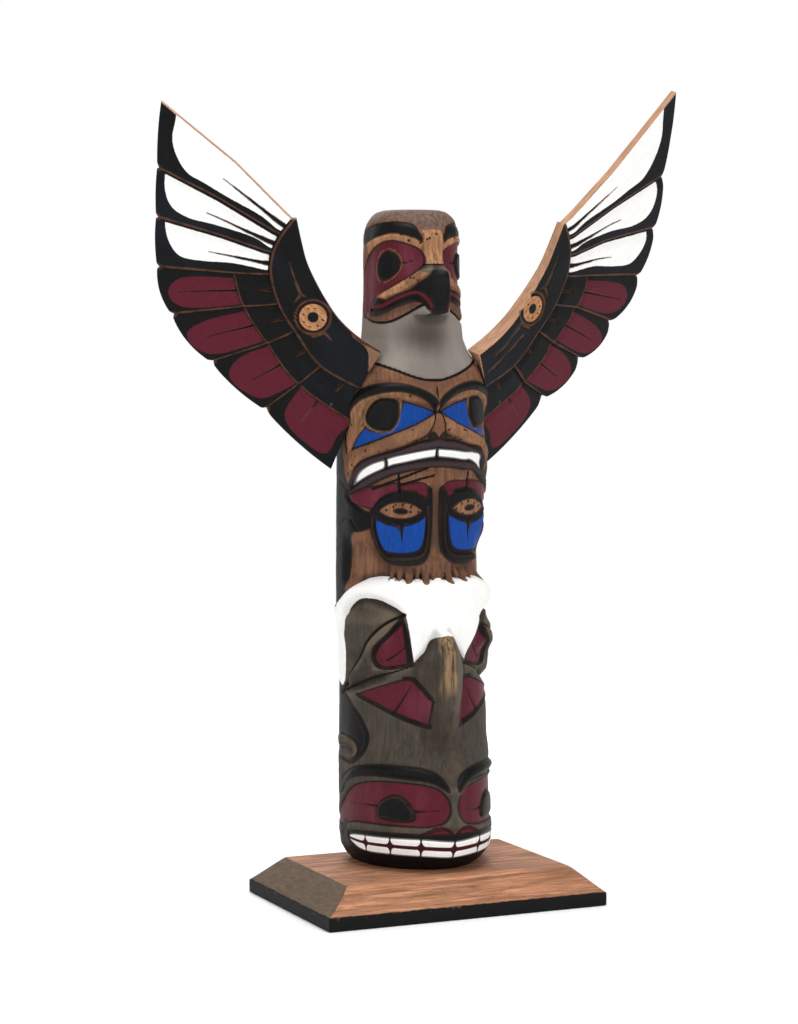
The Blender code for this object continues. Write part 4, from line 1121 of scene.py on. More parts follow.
def thickness(flat, sizes):
    """The board thins from its root to its tips along an S curve."""
    inward = 1.0 - ease(flat[..., 0], 0.0, THINNING_REACH * sizes.length)
    return sizes.tip_thickness + (sizes.root_thickness - sizes.tip_thickness) * inward


class FanPlaces:
    """Where each place of a wing's grid lies among its feathers, with distances in millimetres."""

    def __init__(self, places, rows, flat):
        self.out = flat[..., 0] / MM
        self.up = flat[..., 1] / MM
        self.row = rows[:, None]
        self.outer = self.row >= 1.0
        self.feather = np.minimum(places.astype(int), FEATHERS - 1)
        self.share = (places - self.feather)[None, :]
        edges = FEATHER_COLUMNS * np.arange(FEATHERS + 1)
        steps = np.linalg.norm(np.diff(flat[:, edges], axis=1), axis=-1) / MM
        self.width = steps[:, self.feather]
        self.above = self.share * self.width
        self.below = (1.0 - self.share) * self.width
        along = np.linalg.norm(np.diff(flat, axis=0), axis=-1) / MM
        self.from_inner = np.concatenate([np.zeros((1, len(places))), np.cumsum(along, axis=0)])
        self.past_arm = self.from_inner - self.from_inner[ARM_ROWS]
        self.past_covert = self.from_inner - self.from_inner[ARM_ROWS + COVERT_ROWS]
        self.to_tip = self.from_inner[-1] - self.from_inner
        self.covered = (self.feather >= FIRST_COVERT)[None, :] & np.ones_like(self.outer)
        self.first = (self.feather == 0)[None, :]
        self.last = (self.feather == FEATHERS - 1)[None, :]


class WingCarving(FanPlaces):
    """A wing's carving as it grows: its depth in millimetres, coats, painted shade in its cuts and dark dots,
    and brown rims.
    """

    def __init__(self, places, rows, flat):
        super().__init__(places, rows, flat)
        self.depth = np.zeros_like(self.out)
        self.seam = np.zeros_like(self.out)
        self.rim = np.zeros_like(self.out)
        self.coats = {name: np.full(self.out.shape, -FAR) for name in WING_COATS}

    def add_darkening(self, where, share):
        self.seam = np.maximum(self.seam, np.where(where, np.clip(share, 0.0, 1.0), 0.0))

    def add_rim(self, where, share, most=1.0):
        self.rim = np.maximum(self.rim, np.where(where, np.clip(share, 0.0, most), 0.0))

    def dig(self, where, deep, gap, half):
        """A groove with sloped sides, at full depth where the gap to its line is 0."""
        self.depth += np.where(where, deep * np.clip(1.0 - gap / half, 0.0, 1.0), 0.0)

    def lap_feathers(self, lap):
        """Each feather tucked under the one above it, and all of them under the coverts and the arm."""
        self.depth += np.where(self.outer & ~self.first, lap * (1.0 - ease(self.above, 0.0, 6.5)), 0.0)
        self.dig(self.outer & ~self.last, 0.5, self.below, 0.9)
        self.depth += np.where(self.outer, 0.9 * (1.0 - ease(self.past_arm, 0.0, 5.0)), 0.0)
        self.dig(~self.outer, 0.35, -self.past_arm, 0.7)
        self.depth += np.where(self.covered & (self.row >= 2.0), 0.6 * (1.0 - ease(self.past_covert, 0.0,
                                                                                   4.0)), 0.0)

    def paint_panels(self, drawn_flat):
        """The outlines as drawn on the left wing, held back from the arm and from the feather's own edges."""
        for index, coat, outline in PANELS:
            line = smooth_line(outline, closed=True)
            pick = np.broadcast_to((self.feather == index)[None, :], self.out.shape) & self.outer
            start = self.past_arm[pick] - 0.8 if coat == "white" else self.past_covert[pick] - 0.3
            upper_edge = self.above[pick] + (0.2 if index == 0 else -1.6)
            within = inside(drawn_flat[..., 0][pick], drawn_flat[..., 1][pick], line)
            inner_depth = np.minimum.reduce([within, start, upper_edge, self.below[pick] - 0.9])
            self.coats[coat][pick] = np.maximum(self.coats[coat][pick], inner_depth)

    def line_feathers(self):
        """Painted shade above each feather, under the lapped step of the one above, and past the arm and
        coverts; rims below them and at the corners.
        """
        widening = 0.55 + 0.85 * np.clip((self.row - 1.0) / 2.0, 0.0, 1.0)
        self.add_darkening(self.outer & ~self.first, (widening + 0.2 - self.above) / 0.4)
        self.add_darkening(self.outer, 1.25 - self.past_arm / 0.7)
        self.add_darkening(self.covered & (self.row >= 2.0), 1.3 - self.past_covert / 0.6)
        self.add_rim(self.outer & ~self.last, (1.35 - self.below) / 0.5)
        self.add_rim(~self.outer, (1.5 + self.past_arm) / 0.5)
        self.add_rim(self.covered, 1.5 - np.abs(self.past_covert + 0.2) / 0.7)
        below_corner = np.where(self.last, FAR, np.hypot(self.to_tip, self.below))
        above_corner = np.where(self.first, FAR, np.hypot(self.to_tip, self.above))
        corner = np.clip((2.6 - np.minimum(below_corner, above_corner)) / 0.8, 0.0, 1.0)
        self.rim = np.maximum(self.rim, corner)
        self.seam = np.where(corner > 0.5, np.minimum(self.seam, 0.2), self.seam)

    def cut_slits(self):
        """The long slits in the feathers, which narrow towards the tips."""
        for index, first, last, half, middle in SLITS:
            pick = (self.feather == index)[None, :] & (self.row >= first) & (self.row <= last)
            narrowing = np.clip((last - self.row) / (last - first), 0.0, 1.0) * half
            gap = np.abs(self.share - middle) * self.width
            self.dig(pick, 0.75, gap, narrowing + 0.3)
            # Painted shade in the slit
            self.add_darkening(pick, (narrowing + 0.15 - gap) / 0.4)
            self.add_rim(pick, (narrowing + 0.6 - gap) / 0.5, 0.75)

    def cut_eye(self, eye):
        """A cedar ring between two grooves, dotted round, and the cuts that run off it."""
        reach = np.hypot(self.out - eye[0], self.up - eye[1])
        self.coats["cedar"] = np.maximum(self.coats["cedar"], np.minimum(6.8 - reach, reach - 2.7))
        self.dig(True, 0.7, np.abs(reach - 7.9), 0.9)
        self.dig(True, 0.4, np.abs(reach - 3.2), 0.7)
        self.rim = np.where(reach < 9.6, np.clip(1.35 - np.abs(reach - 8.7) / 0.8, 0.0, 1.0), self.rim)
        # Painted shade in the ring's outer groove, then the dark dots round it
        self.seam = np.where(reach < 8.4, 0.0, self.seam)
        self.add_darkening(True, 1.3 - np.abs(reach - 7.5) / 0.6)
        for turn in np.linspace(0.3, 2 * math.pi + 0.3, EYE_DOTS, endpoint=False):
            dot = np.hypot(self.out - eye[0] - EYE_DOT_RADIUS * math.cos(turn),
                           self.up - eye[1] - EYE_DOT_RADIUS * math.sin(turn))
            self.add_darkening(True, (0.75 - dot) / 0.4)
        for points, start, end in EYE_MARKS:
            moved = np.array(points) + np.array(eye) - np.array(EYE_LEFT)
            gap, run_share = nearest(self.out, self.up, smooth_line(moved))
            half = start + (end - start) * run_share
            self.add_rim(True, (half + 0.3 - gap) / 0.6)
            self.dig(True, 0.5, gap, half + 0.4)

    def cut_arm(self):
        for points in ARM_CUTS:
            gap = away(self.out, self.up, points)
            self.add_rim(True, (0.9 - gap) / 0.5)
            self.dig(True, 0.5, gap, 0.9)

    def wear_edges(self, right):
        """Rounds the board's edge, and leaves wood bare along it and round the left wing's black root."""
        edge_gap = np.minimum(self.from_inner, self.to_tip)
        edge_gap = np.minimum(edge_gap, np.where(self.first & self.outer, self.above, FAR))
        edge_gap = np.minimum(edge_gap, np.where(self.first & ~self.outer, self.above + 0.4, FAR))
        edge_gap = np.minimum(edge_gap, np.where(self.last, self.below, FAR))
        self.depth += 0.4 * np.clip(1.0 - edge_gap / 0.6, 0.0, 1.0) ** 1.5
        painted_edge = edge_gap if right else np.where(self.first & self.outer, self.above, FAR)
        bare = np.where(self.to_tip < edge_gap + 0.01, 0.1, 0.42) - painted_edge
        to_side = np.where(self.outer, -FAR, np.minimum(self.from_inner, -self.past_arm))
        to_root = self.out + ROOT_BARE
        rounding = ROOT_ROUND - np.hypot(np.maximum(ROOT_ROUND - to_root, 0.0),
                                         np.maximum(ROOT_ROUND - to_side, 0.0))
        black = np.minimum.reduce([to_root, to_side + 0.5, rounding])
        root = np.where(self.outer | (self.out > 4.0) | right, -FAR, -black)
        self.coats["bare"] = np.maximum(bare, root)
        self.rim = np.where(root > -0.3, np.maximum(self.rim, 0.9), self.rim)


def carve_wing(places, rows, flat, drawn_flat, right, lap):
    """Depths in millimetres behind the front face, the coats, the painted shade with the eye's dots, and the
    rims.
    """
    work = WingCarving(places, rows, flat)
    work.lap_feathers(lap)
    work.paint_panels(drawn_flat)
    work.line_feathers()
    work.cut_slits()
    work.cut_eye(EYE_RIGHT if right else EYE_LEFT)
    if right:
        work.cut_arm()
    work.wear_edges(right)
    return work.depth, work.coats, work.seam, work.rim


def wing_piece(name, side, sizes, pole, pole_sizes, material):
    """A board of two fan grids, carved in front and plain behind, joined all round by a wall in two steps."""
    angles, pole_points = pole
    right = side > 0
    ends, bows = (RIGHT_ENDS, RIGHT_BOWS) if right else (LEFT_ENDS, LEFT_BOWS)
    board = WingBoard(side, sizes, angles, pole_points, pole_sizes)
    places, rows, front_flat, drawn_flat = fan_grid(board, sizes, ends, bows, 0.0)
    back_flat = fan_grid(board, sizes, ends, bows, 1.0)[2]
    depth, coats, seam, rim = carve_wing(places, rows, front_flat, drawn_flat, right, sizes.lap / MM)
    unevenness = 0.05 * value_noise(front_flat[..., 0] / MM, front_flat[..., 1] / MM, 4.0, 31)
    front = board.place(front_flat, (depth + unevenness) * MM)
    back_edge = np.zeros(depth.shape)
    back_edge[[0, -1], :] = 0.5
    back_edge[:, [0, -1]] = 0.5
    back = board.place(back_flat, thickness(back_flat, sizes) - back_edge * MM)
    count = depth.size
    quads = grid_faces(*depth.shape, False)
    index = np.arange(count).reshape(depth.shape)
    loop = np.concatenate([index[0, :], index[1:, -1], index[-1, -2::-1], index[-2:0:-1, 0]])
    front_points = front.reshape(-1, 3)
    back_points = back.reshape(-1, 3)
    bare_edge = np.clip(coats["bare"], -FAR, FAR).ravel()[loop]
    near_root = (not right) & (front_flat[..., 0].ravel()[loop] / MM < ROOT_WALL)
    dark_wall = near_root & (front_flat[..., 1].ravel()[loop] / MM < ROOT_WALL_TOP)
    bare_edge = np.where(dark_wall, -FAR, bare_edge)
    lap = np.where(bare_edge < -0.2, PAINTED_LAP, WALL_LAP)[:, None]
    middle = front_points[loop] * (1.0 - lap) + back_points[loop] * lap
    ring = 2 * count + np.arange(len(loop))
    after = np.roll(loop, -1)
    ring_after = np.roll(ring, -1)
    faces = np.vstack([quads, quads[:, ::-1] + count, np.stack([after, loop, ring, ring_after], axis=-1),
                       np.stack([ring_after, ring, loop + count, after + count], axis=-1)])
    if not right:
        faces = faces[:, ::-1]
    points = np.vstack([front_points, back_points, middle])
    values = {}
    for key, field in coats.items():
        behind = FAR if key == "bare" else -FAR
        edge_values = np.clip(field, -FAR, FAR).ravel()[loop]
        ring_values = np.where(bare_edge < -0.2, bare_edge,
                               0.5) if key == "bare" else np.full(len(loop), -FAR)
        values[key] = np.concatenate([np.clip(field, -FAR, FAR).ravel(), np.full(count, behind),
                                      ring_values])
    for key, field in (("seam", seam), ("rim", rim)):
        around = np.where(near_root & (key == "rim"), 0.9, 0.0)
        values[key] = np.concatenate([field.ravel(), np.zeros(count), around])
    piece = mesh_piece(name, points, faces, np.zeros((0, 3), dtype=int), values, material)
    piece.data.set_sharp_from_angle(angle=math.radians(50.0))
    return piece


# The base board

SIDE_POINTS = 40
BEVEL_RINGS = 13
CORNER_ROUND = 0.0006


def rounded_profile(sizes, top):
    """(end inset, front inset, height) of each ring from the underside up, round both arrises."""
    r = sizes.arris
    rings = []
    for turn in np.linspace(0.0, math.pi / 2.0, 4):
        inset = r * (1.0 - math.sin(turn))
        rings.append((inset, inset, r * (1.0 - math.cos(turn))))
    for share in (0.35, 0.7):
        rings.append((0.0, 0.0, r + share * (sizes.side_height - 2.0 * r)))
    for share in (0.0, 0.35, 0.7, 1.0):
        rings.append((r * share ** 2, r * share ** 2, sizes.side_height - r + r * share * 1.15))
    for share in np.linspace(0.0, 1.0, BEVEL_RINGS + 1)[1:]:
        height = sizes.side_height + share * (top - sizes.side_height)
        soft = 0.35 * r * ease(share, 0.9, 1.0)
        rings.append((r * 0.9 + share * (sizes.bevel_ends - r * 0.9) + soft,
                      r * 0.9 + share * (sizes.bevel_front - r * 0.9) + soft, height))
    return rings


def board_ring(half_x, half_y, inset_x, inset_y, height):
    """Points round a rectangle anticlockwise seen from above, with its corners just rounded."""
    x = half_x - inset_x
    y = half_y - inset_y
    corners = np.array([(-x, -y), (x, -y), (x, y), (-x, y)])
    points = []
    for index in range(4):
        start = corners[index]
        stop = corners[(index + 1) % 4]
        along = (stop - start) / np.linalg.norm(stop - start)
        shares = np.linspace(0.0, 1.0, SIDE_POINTS)[:, None]
        points.append((start + along * CORNER_ROUND) * (1 - shares) + (stop - along * CORNER_ROUND)
                      * shares)
    flat = np.vstack(points)
    return np.column_stack([flat, np.full(len(flat), height)])


def base_piece(sizes, material):
    """Rings carried up the profile, slightly uneven as hand planed, closed by rings above and below."""
    half_x = BASE_BOX[1].x
    half_y = BASE_BOX[1].y
    top = BASE_BOX[1].z
    rings = [board_ring(half_x, half_y, a, b, h) for a, b, h in rounded_profile(sizes, top)]
    points = np.stack(rings)
    level = points[-1].copy()
    inner = [level * np.array([s, s, 1.0]) for s in (0.985, 0.9, 0.7, 0.4, 0.15)]
    under = [points[0] * np.array([s, s, 1.0]) for s in (0.15, 0.5, 0.9)]
    points = np.concatenate([np.stack(under), points, np.stack(inner)])
    planed = 0.12 * value_noise(points[..., 0] / MM + 300, points[..., 1] / MM + 300, 17.0, 41) * MM
    raised = points[..., 2] > sizes.side_height + 0.001
    points[..., 2] -= np.where(raised, np.abs(planed), 0.0)
    rows, columns = points.shape[:2]
    skin = np.vstack([points.reshape(-1, 3), [[0.0, 0.0, points[-1, 0, 2]], [0.0, 0.0, 0.0]]])
    piece = mesh_piece("base_board_oiled", skin, grid_faces(rows, columns, True), end_fans(rows, columns),
                       {}, material)
    piece.data.set_sharp_from_angle(angle=math.radians(30.0))
    return piece


# Materials

HEAD_LEVEL = 0.278
CROWN_LEVEL = 0.332


def shade(colour, factor):
    return tuple(c * factor for c in colour)


def painted_carving(colours):
    """Stained cedar under a wash and paints: each coat shows where its roughened distance is over 0."""
    m = Shader("painted_carving")
    grain = m.noise(0.0016, (1.0, 1.0, 14.0), 5.0, 0.6, 0.3)
    broad = m.noise(0.018, (1.0, 1.0, 3.0), 3.0)
    fine = m.noise(0.0006, (1.0, 1.0, 3.0), 4.0, 0.7)
    ragged = m.math("MULTIPLY", m.math("SUBTRACT", m.noise(0.0014, detail=3.0), 0.5), 0.5)
    crest = m.attribute("crest")
    lines = m.attribute("lines")
    painted_shade = m.attribute("painted_shade")
    stain = tuple(colours.stain)
    rubbed = tuple(colours.rubbed)
    wash = tuple(colours.wash)

    def coat(name, soft=0.16):
        return m.step(m.math("ADD", m.attribute(name), ragged), -soft, soft)

    wood = m.mix(m.step(grain, 0.32, 0.68), shade(stain, 0.62), shade(stain, 1.25))
    wood = m.mix(m.step(broad, 0.4, 0.75), wood, shade(stain, 0.72))
    worn = m.math("MULTIPLY", m.step(crest, 0.1, 0.8), m.step(broad, 0.3, 0.6))
    wood = m.mix(m.math("MULTIPLY", worn, 0.3), wood, rubbed)

    height_up = m.parts(m.place)["Z"]
    band = m.mix(m.step(grain, 0.3, 0.7), shade(rubbed, 0.62), shade(rubbed, 1.1))
    band = m.mix(m.step(broad, 0.42, 0.66), band, shade(stain, 0.9))
    lit = m.mix(m.step(grain, 0.3, 0.7), linear(132, 94, 66), linear(182, 134, 98))
    lit = m.mix(m.step(broad, 0.5, 0.72), lit, linear(118, 82, 60))
    band = m.mix(m.step(height_up, HEAD_LEVEL - 0.004, HEAD_LEVEL + 0.004), band, lit)
    band = m.mix(m.specks(0.0031, 0.0007, 0.6), band, shade(stain, 0.14))
    colour = m.mix(coat("rubbed", 0.3), wood, band)

    greyed = m.mix(m.step(grain, 0.3, 0.72), shade(wash, 0.74), shade(wash, 1.22))
    greyed = m.mix(m.math("MULTIPLY", m.step(broad, 0.5, 0.72), 0.4), greyed, linear(100, 85, 67))
    greyed = m.mix(m.math("MULTIPLY", m.step(crest, 0.1, 0.6), 0.3), greyed, linear(128, 114, 94))
    crown = m.mix(m.step(grain, 0.3, 0.7), linear(84, 66, 57), linear(112, 91, 80))
    greyed = m.mix(m.step(height_up, CROWN_LEVEL - 0.006, CROWN_LEVEL + 0.006), greyed, crown)
    colour = m.mix(coat("wash"), colour, greyed)

    edge_glint_wood = linear(150, 118, 80)
    fin = m.mix(m.step(grain, 0.36, 0.6), linear(68, 54, 42), linear(142, 116, 86))
    colour = m.mix(m.attribute("fin"), colour, fin)
    neck = m.mix(m.step(broad, 0.35, 0.7), tuple(colours.neck), shade(colours.neck, 0.74))
    colour = m.mix(coat("neck"), colour, neck)
    # Painted shade in the carving's hollows, where the surface lies below its surroundings
    hollow_shade = m.step(crest, -0.05, -0.62)
    colour = m.mix(m.math("MULTIPLY", hollow_shade, 0.62), colour, linear(38, 27, 20))

    streak = m.step(m.noise(0.0009, (1.0, 1.0, 6.0), 4.0), 0.35, 0.75)
    red = m.mix(streak, shade(colours.maroon, 0.86), shade(colours.maroon, 1.12))
    red = m.mix(m.math("MULTIPLY", m.step(broad, 0.5, 0.75), 0.35), red, linear(128, 66, 84))
    colour = m.mix(coat("maroon"), colour, red)
    blue = m.mix(streak, shade(colours.blue, 0.85), shade(colours.blue, 1.15))
    colour = m.mix(coat("blue"), colour, blue)
    white = m.mix(m.math("MULTIPLY", streak, 0.25), tuple(colours.white), linear(214, 212, 210))
    colour = m.mix(coat("white"), colour, white)
    black = m.mix(streak, shade(colours.black, 0.75), shade(colours.black, 1.35))
    colour = m.mix(coat("black"), colour, black)
    colour = m.mix(coat("gum"), colour, linear(58, 20, 28))
    # Painted highlight on the lips' raised parts and painted shade in their hollows
    lip = m.mix(m.step(crest, -0.2, 0.6), linear(30, 22, 25), linear(58, 46, 49))
    colour = m.mix(coat("lip"), colour, lip)

    # Painted shade of the knife cut that runs along the edges of the black, dark red, blue, grey and lip
    # coats
    outline = None
    for name in ("black", "maroon", "blue", "neck", "lip"):
        off = m.math("ABSOLUTE", m.math("ADD", m.attribute(name), 0.25))
        mark = m.step(off, 0.6, 0.25)
        outline = mark if outline is None else m.math("MAXIMUM", outline, mark)
    colour = m.mix(m.math("MULTIPLY", outline, 0.85), colour, linear(24, 17, 15))
    # Painted shade in the knife cuts
    colour = m.mix(m.step(m.math("ADD", lines, m.math("MULTIPLY", ragged, 0.4)), 0.3, 0.75), colour,
                   linear(20, 14, 12))
    # Pale worn wood along the pupils and the whale's oval, drawn partly as a painted highlight
    glint = m.math("MULTIPLY", m.attribute("glint"), m.step(m.noise(0.003, detail=2.0), 0.3, 0.5))
    colour = m.mix(m.math("MULTIPLY", glint, 0.75), colour, edge_glint_wood)
    # Painted shade: darkens the hollows under the jaw, between the paws, beside the flukes and round the fin,
    # and the left of the neck
    colour = m.mix(m.math("MULTIPLY", painted_shade, 0.78), colour, linear(52, 44, 40))

    painted = m.math("MAXIMUM", coat("black"), m.math("MAXIMUM", coat("maroon"), coat("blue")))
    painted = m.math("MAXIMUM", painted, coat("white"))
    roughness = m.blend(painted, m.blend(grain, 0.5, 0.72), m.blend(streak, 0.4, 0.52))
    height = m.math("ADD", m.math("MULTIPLY", grain, m.blend(painted, 1.0, 0.25)),
                    m.math("MULTIPLY", fine, 0.35))
    return m.finish(colour, roughness, height, 0.00022, 0.8)


def painted_wing(colours):
    """Black paint over cedar with white and dark red panels; wood shows along cuts, edges and behind."""
    m = Shader("painted_wing")
    m.lay_grain(math.radians(48.0))
    grain = m.noise(0.0009, (16.0, 1.0, 1.0), 5.0, 0.6, 0.3)
    broad = m.noise(0.02, (3.0, 1.0, 1.0), 3.0)
    ragged = m.math("MULTIPLY", m.math("SUBTRACT", m.noise(0.0012, detail=3.0), 0.5), 0.45)
    streak = m.step(m.noise(0.0009, (6.0, 1.0, 1.0), 4.0), 0.35, 0.75)

    def coat(name, soft=0.14):
        return m.step(m.math("ADD", m.attribute(name), ragged), -soft, soft)

    black = m.mix(streak, shade(colours.black, 0.7), shade(colours.black, 1.2))
    black = m.mix(m.step(broad, 0.45, 0.7), black, linear(21, 24, 31))
    scuff = m.math("MULTIPLY", m.specks(0.004, 0.0007, 0.12), m.step(m.noise(0.01, detail=2.0), 0.55, 0.7))
    colour = m.mix(m.math("MULTIPLY", scuff, 0.5), black, linear(110, 104, 98))
    white = m.mix(m.math("MULTIPLY", streak, 0.3), tuple(colours.white), linear(206, 208, 212))
    colour = m.mix(coat("white"), colour, white)
    red = m.mix(streak, shade(colours.maroon, 0.9), shade(colours.maroon, 1.12))
    colour = m.mix(coat("maroon"), colour, red)
    patchy = m.blend(m.step(m.noise(0.005, detail=3.0), 0.3, 0.6), 0.4, 1.0)
    brown = m.mix(grain, linear(56, 34, 24), linear(104, 70, 49))
    shown = m.math("MULTIPLY", m.step(m.math("ADD", m.attribute("rim"), ragged), 0.35, 0.75), patchy)
    colour = m.mix(m.math("MULTIPLY", shown, 0.9), colour, brown)
    # Painted shade in the cuts, the slits and under each lapped feather, with the eye ring's dark dots
    colour = m.mix(m.step(m.math("ADD", m.attribute("seam"), ragged), 0.4, 0.8), colour, linear(22, 15, 12))

    cedar = m.mix(m.step(grain, 0.3, 0.7), shade(colours.cedar, 0.62), shade(colours.cedar, 1.05))
    mottled = m.noise(0.009, (1.6, 1.0, 1.0), 4.0)
    cedar = m.mix(m.math("MULTIPLY", m.step(mottled, 0.4, 0.7), 0.5), cedar, shade(colours.cedar, 0.55))
    cedar = m.mix(m.math("MULTIPLY", m.attribute("rim"), 0.85), cedar, shade(colours.cedar, 0.24))
    colour = m.mix(coat("bare"), colour, cedar)
    ring = m.mix(m.step(grain, 0.3, 0.7), linear(146, 98, 66), linear(190, 138, 98))
    ringed = m.math("MULTIPLY", coat("cedar"), m.step(m.attribute("seam"), 0.7, 0.3))
    colour = m.mix(ringed, colour, ring)

    wood = m.math("MAXIMUM", coat("bare"), ringed)
    roughness = m.blend(wood, m.blend(streak, 0.42, 0.55), 0.68)
    height = m.math("MULTIPLY", grain, m.blend(wood, 0.35, 1.0))
    return m.finish(colour, roughness, height, 0.0002, 0.7)


def oiled_cedar(colours, sizes):
    """Oiled cedar with its grain along X, darker end grain on the end bevels, and black upright sides."""
    m = Shader("oiled_cedar")
    grain = m.noise(0.0011, (22.0, 1.6, 1.0), 6.0, 0.62, 0.35)
    pores = m.noise(0.0005, (14.0, 1.0, 1.0), 3.0, 0.5)
    broad = m.noise(0.022, (3.0, 1.0, 1.0), 3.0)
    oiled = tuple(colours.oiled)

    bands = m.noise(0.0034, (26.0, 1.0, 1.0), 4.0, 0.6, 0.2)
    colour = m.mix(m.step(grain, 0.34, 0.68), shade(oiled, 0.62), shade(oiled, 1.28))
    colour = m.mix(m.math("MULTIPLY", m.step(bands, 0.46, 0.64), 0.62), colour, shade(oiled, 0.36))
    colour = m.mix(m.math("MULTIPLY", m.step(broad, 0.44, 0.68), 0.55), colour, shade(oiled, 0.45))
    colour = m.mix(m.math("MULTIPLY", m.step(pores, 0.58, 0.7), 0.8), colour, shade(oiled, 0.25))
    stains = m.noise(0.0065, (4.0, 1.0, 1.0), 4.0, 0.7)
    colour = m.mix(m.math("MULTIPLY", m.step(stains, 0.55, 0.72), 0.7), colour, shade(oiled, 0.26))
    facing = m.parts(m.nodes.new("ShaderNodeNewGeometry").outputs["Normal"])
    end_face = m.step(m.math("ABSOLUTE", facing["X"]), 0.3, 0.42)
    end_grain = m.mix(m.noise(0.0014, (1.0, 5.0, 1.0), 5.0, 0.65), linear(54, 46, 40), linear(124, 104, 86))
    colour = m.mix(end_face, colour, end_grain)
    edge = m.math("ADD", m.parts(m.place)["Z"], m.math("MULTIPLY", m.noise(0.004, detail=3.0), 0.0009))
    side = m.step(edge, sizes.side_height + 0.0007, sizes.side_height + 0.0002)
    upright = m.math("MAXIMUM", side, m.step(facing["Z"], -0.5, -0.8))
    black = m.mix(pores, shade(colours.black, 0.8), shade(colours.black, 1.5))
    colour = m.mix(upright, colour, black)
    corner = m.math("MULTIPLY", m.step(m.noise(0.006, detail=3.0), 0.6, 0.72), m.step(edge, 0.0052, 0.0066))
    colour = m.mix(m.math("MULTIPLY", m.math("MULTIPLY", corner, side), 0.6), colour, linear(108, 80, 60))
    roughness = m.blend(upright, m.blend(grain, 0.5, 0.68), 0.55)
    height = m.math("ADD", grain, m.math("MULTIPLY", pores, 0.4))
    return m.finish(colour, roughness, height, 0.00018, 0.8)


def plain_matt(name, colour, roughness):
    """A matt floor with a faint mottle."""
    m = Shader(name)
    mottle = m.noise(0.05, detail=2.0)
    return m.finish(m.mix(m.math("MULTIPLY", mottle, 0.02), colour, (0.6, 0.6, 0.6)), roughness, mottle,
                    0.0001, 0.1)


# Studio

VIEW_TARGET = Vector((-0.01485, 0.0, 0.1956))
VIEW_AZIMUTH = math.radians(-24.405)
VIEW_ELEVATION = math.radians(3.981)
VIEW_DISTANCE = 1.3713
VIEW_LENS = 97.1
LIGHTS = (
    ("left", (-1.25, -1.0, 0.85), 0.9, 6.5),
    ("right", (0.75, -1.45, 0.85), 0.9, 6.0),
    ("back", (0.3, 1.3, 1.0), 0.9, 8.0),
    ("top", (0.0, -0.05, 1.7), 0.9, 21.0),
)
FLOOR_RADIUS = 0.75


def aim(thing, place, target):
    thing.location = place
    thing.rotation_euler = (target - Vector(place)).to_track_quat("-Z", "Y").to_euler()


def add_camera():
    """A long lens at the viewing angle, aimed at the middle of the view."""
    direction = Vector((math.sin(VIEW_AZIMUTH) * math.cos(VIEW_ELEVATION),
                        -math.cos(VIEW_AZIMUTH) * math.cos(VIEW_ELEVATION), math.sin(VIEW_ELEVATION)))
    data = bpy.data.cameras.new("view")
    data.lens = VIEW_LENS
    data.sensor_width = 36.0
    camera = bpy.data.objects.new("view", data)
    bpy.context.scene.collection.objects.link(camera)
    aim(camera, VIEW_TARGET + direction * VIEW_DISTANCE, VIEW_TARGET)
    bpy.context.scene.camera = camera


def add_lights():
    """Large soft lamps round the object, and a pale surround."""
    for name, place, size, power in LIGHTS:
        data = bpy.data.lights.new(name, "AREA")
        data.size = size
        data.energy = power
        lamp = bpy.data.objects.new(name, data)
        bpy.context.scene.collection.objects.link(lamp)
        aim(lamp, place, Vector((0.0, 0.0, 0.2)))
    world = bpy.data.worlds.new("pale_surround")
    world.use_nodes = True
    nodes = world.node_tree.nodes
    links = world.node_tree.links
    parts = nodes.new("ShaderNodeSeparateXYZ")
    links.new(nodes.new("ShaderNodeTexCoord").outputs["Generated"], parts.inputs["Vector"])
    dimmed = nodes.new("ShaderNodeMapRange")
    dimmed.interpolation_type = "SMOOTHSTEP"
    links.new(parts.outputs["Z"], dimmed.inputs["Value"])
    for key, value in (("From Min", 0.18), ("From Max", 0.55), ("To Min", 1.0), ("To Max", 0.3)):
        dimmed.inputs[key].default_value = value
    backdrop = nodes["Background"]
    backdrop.inputs["Color"].default_value = (1.0, 1.0, 1.0, 1.0)
    links.new(dimmed.outputs["Result"], backdrop.inputs["Strength"])
    bpy.context.scene.world = world


def add_floor():
    """A level disc of rings, wide enough to fill the view."""
    rings, columns = 24, 96
    radius, angle = np.meshgrid(np.linspace(0.02, FLOOR_RADIUS, rings),
                                np.linspace(0, 2 * math.pi, columns, endpoint=False), indexing="ij")
    points = np.stack([radius * np.cos(angle), radius * np.sin(angle), np.zeros_like(angle)], axis=-1)
    skin = np.vstack([points.reshape(-1, 3), [[0.0, 0.0, 0.0]]])
    quads = grid_faces(rings, columns, True)[:, ::-1]
    column = np.arange(columns)
    centre = np.stack([column, (column + 1) % columns, np.full(columns, rings * columns)], axis=-1)
    floor = mesh_piece("floor", skin, quads, centre, {}, plain_matt("pale_floor", (0.96, 0.96, 0.96), 0.9))


# Operators, panel and registration

class TOTEM_OT_stage(bpy.types.Operator):
    """Adds the camera, the lamps and the floor"""

    bl_idname = "totem.stage"
    bl_label = "Studio"

    def execute(self, context):
        add_camera()
        add_lights()
        add_floor()
        context.scene.view_settings.view_transform = "Standard"
        return {"FINISHED"}


class TOTEM_OT_pole(bpy.types.Operator):
    """Carves and paints the pole"""

    bl_idname = "totem.pole"
    bl_label = "Carved pole"

    def execute(self, context):
        sizes = context.scene.totem_pole
        _, points, values = carve_pole(sizes)
        skin, quads, triangles, spread_values = close_pole(points, values, sizes)
        piece = mesh_piece("carved_pole_painted", skin, quads, triangles, spread_values,
                           painted_carving(context.scene.totem_colours))
        settle(piece, "carved_pole")
        return {"FINISHED"}


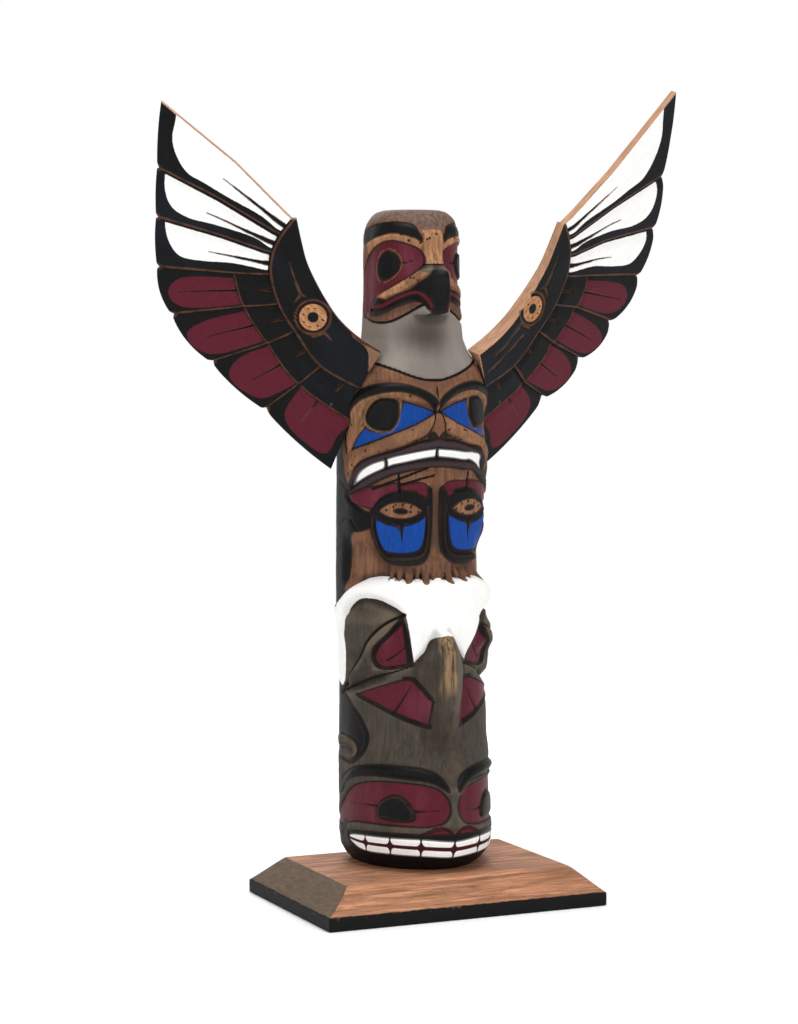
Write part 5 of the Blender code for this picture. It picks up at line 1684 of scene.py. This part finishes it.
class TOTEM_OT_wings(bpy.types.Operator):
    """Cuts and paints both wings and fits them to the pole"""

    bl_idname = "totem.wings"
    bl_label = "Wings"

    def execute(self, context):
        sizes = context.scene.totem_wings
        pole_sizes = context.scene.totem_pole
        angles, points, _ = carve_pole(pole_sizes)
        material = painted_wing(context.scene.totem_colours)
        for node, side in (("left_wing", -1.0), ("right_wing", 1.0)):
            piece = wing_piece(node + "_painted", side, sizes, (angles, points), pole_sizes, material)
            settle(piece, node)
        return {"FINISHED"}


class TOTEM_OT_base(bpy.types.Operator):
    """Planes and oils the base board"""

    bl_idname = "totem.base"
    bl_label = "Base board"

    def execute(self, context):
        sizes = context.scene.totem_base
        piece = base_piece(sizes, oiled_cedar(context.scene.totem_colours, sizes))
        settle(piece, "base_board")
        return {"FINISHED"}


class TOTEM_PT_panel(bpy.types.Panel):
    """Lists the pieces and their settings"""

    bl_idname = "TOTEM_PT_panel"
    bl_label = "Totem Pole"
    bl_space_type = "VIEW_3D"
    bl_region_type = "UI"
    bl_category = "Totem Pole"

    def draw(self, context):
        for step in STEPS:
            self.layout.operator(step)
        for group in GROUPS:
            settings = getattr(context.scene, group)
            column = self.layout.column(align=True)
            for name in settings.__annotations__:
                column.prop(settings, name)


STEPS = ("totem.stage", "totem.base", "totem.pole", "totem.wings")
GROUPS = {"totem_pole": TotemPoleSizes, "totem_wings": TotemWingSizes, "totem_base": TotemBaseSizes,
          "totem_colours": TotemColours}
CLASSES = (TotemPoleSizes, TotemWingSizes, TotemBaseSizes, TotemColours, TOTEM_OT_stage, TOTEM_OT_pole,
           TOTEM_OT_wings, TOTEM_OT_base, TOTEM_PT_panel)


def register():
    for item in CLASSES:
        bpy.utils.register_class(item)
    for name, group in GROUPS.items():
        setattr(bpy.types.Scene, name, PointerProperty(type=group))


def unregister():
    for name in GROUPS:
        delattr(bpy.types.Scene, name)
    for item in reversed(CLASSES):
        bpy.utils.unregister_class(item)


def main():
    register()
    bpy.ops.totem.stage()
    bpy.ops.totem.base()
    bpy.ops.totem.pole()
    bpy.ops.totem.wings()


if __name__ == "__main__":
    main()
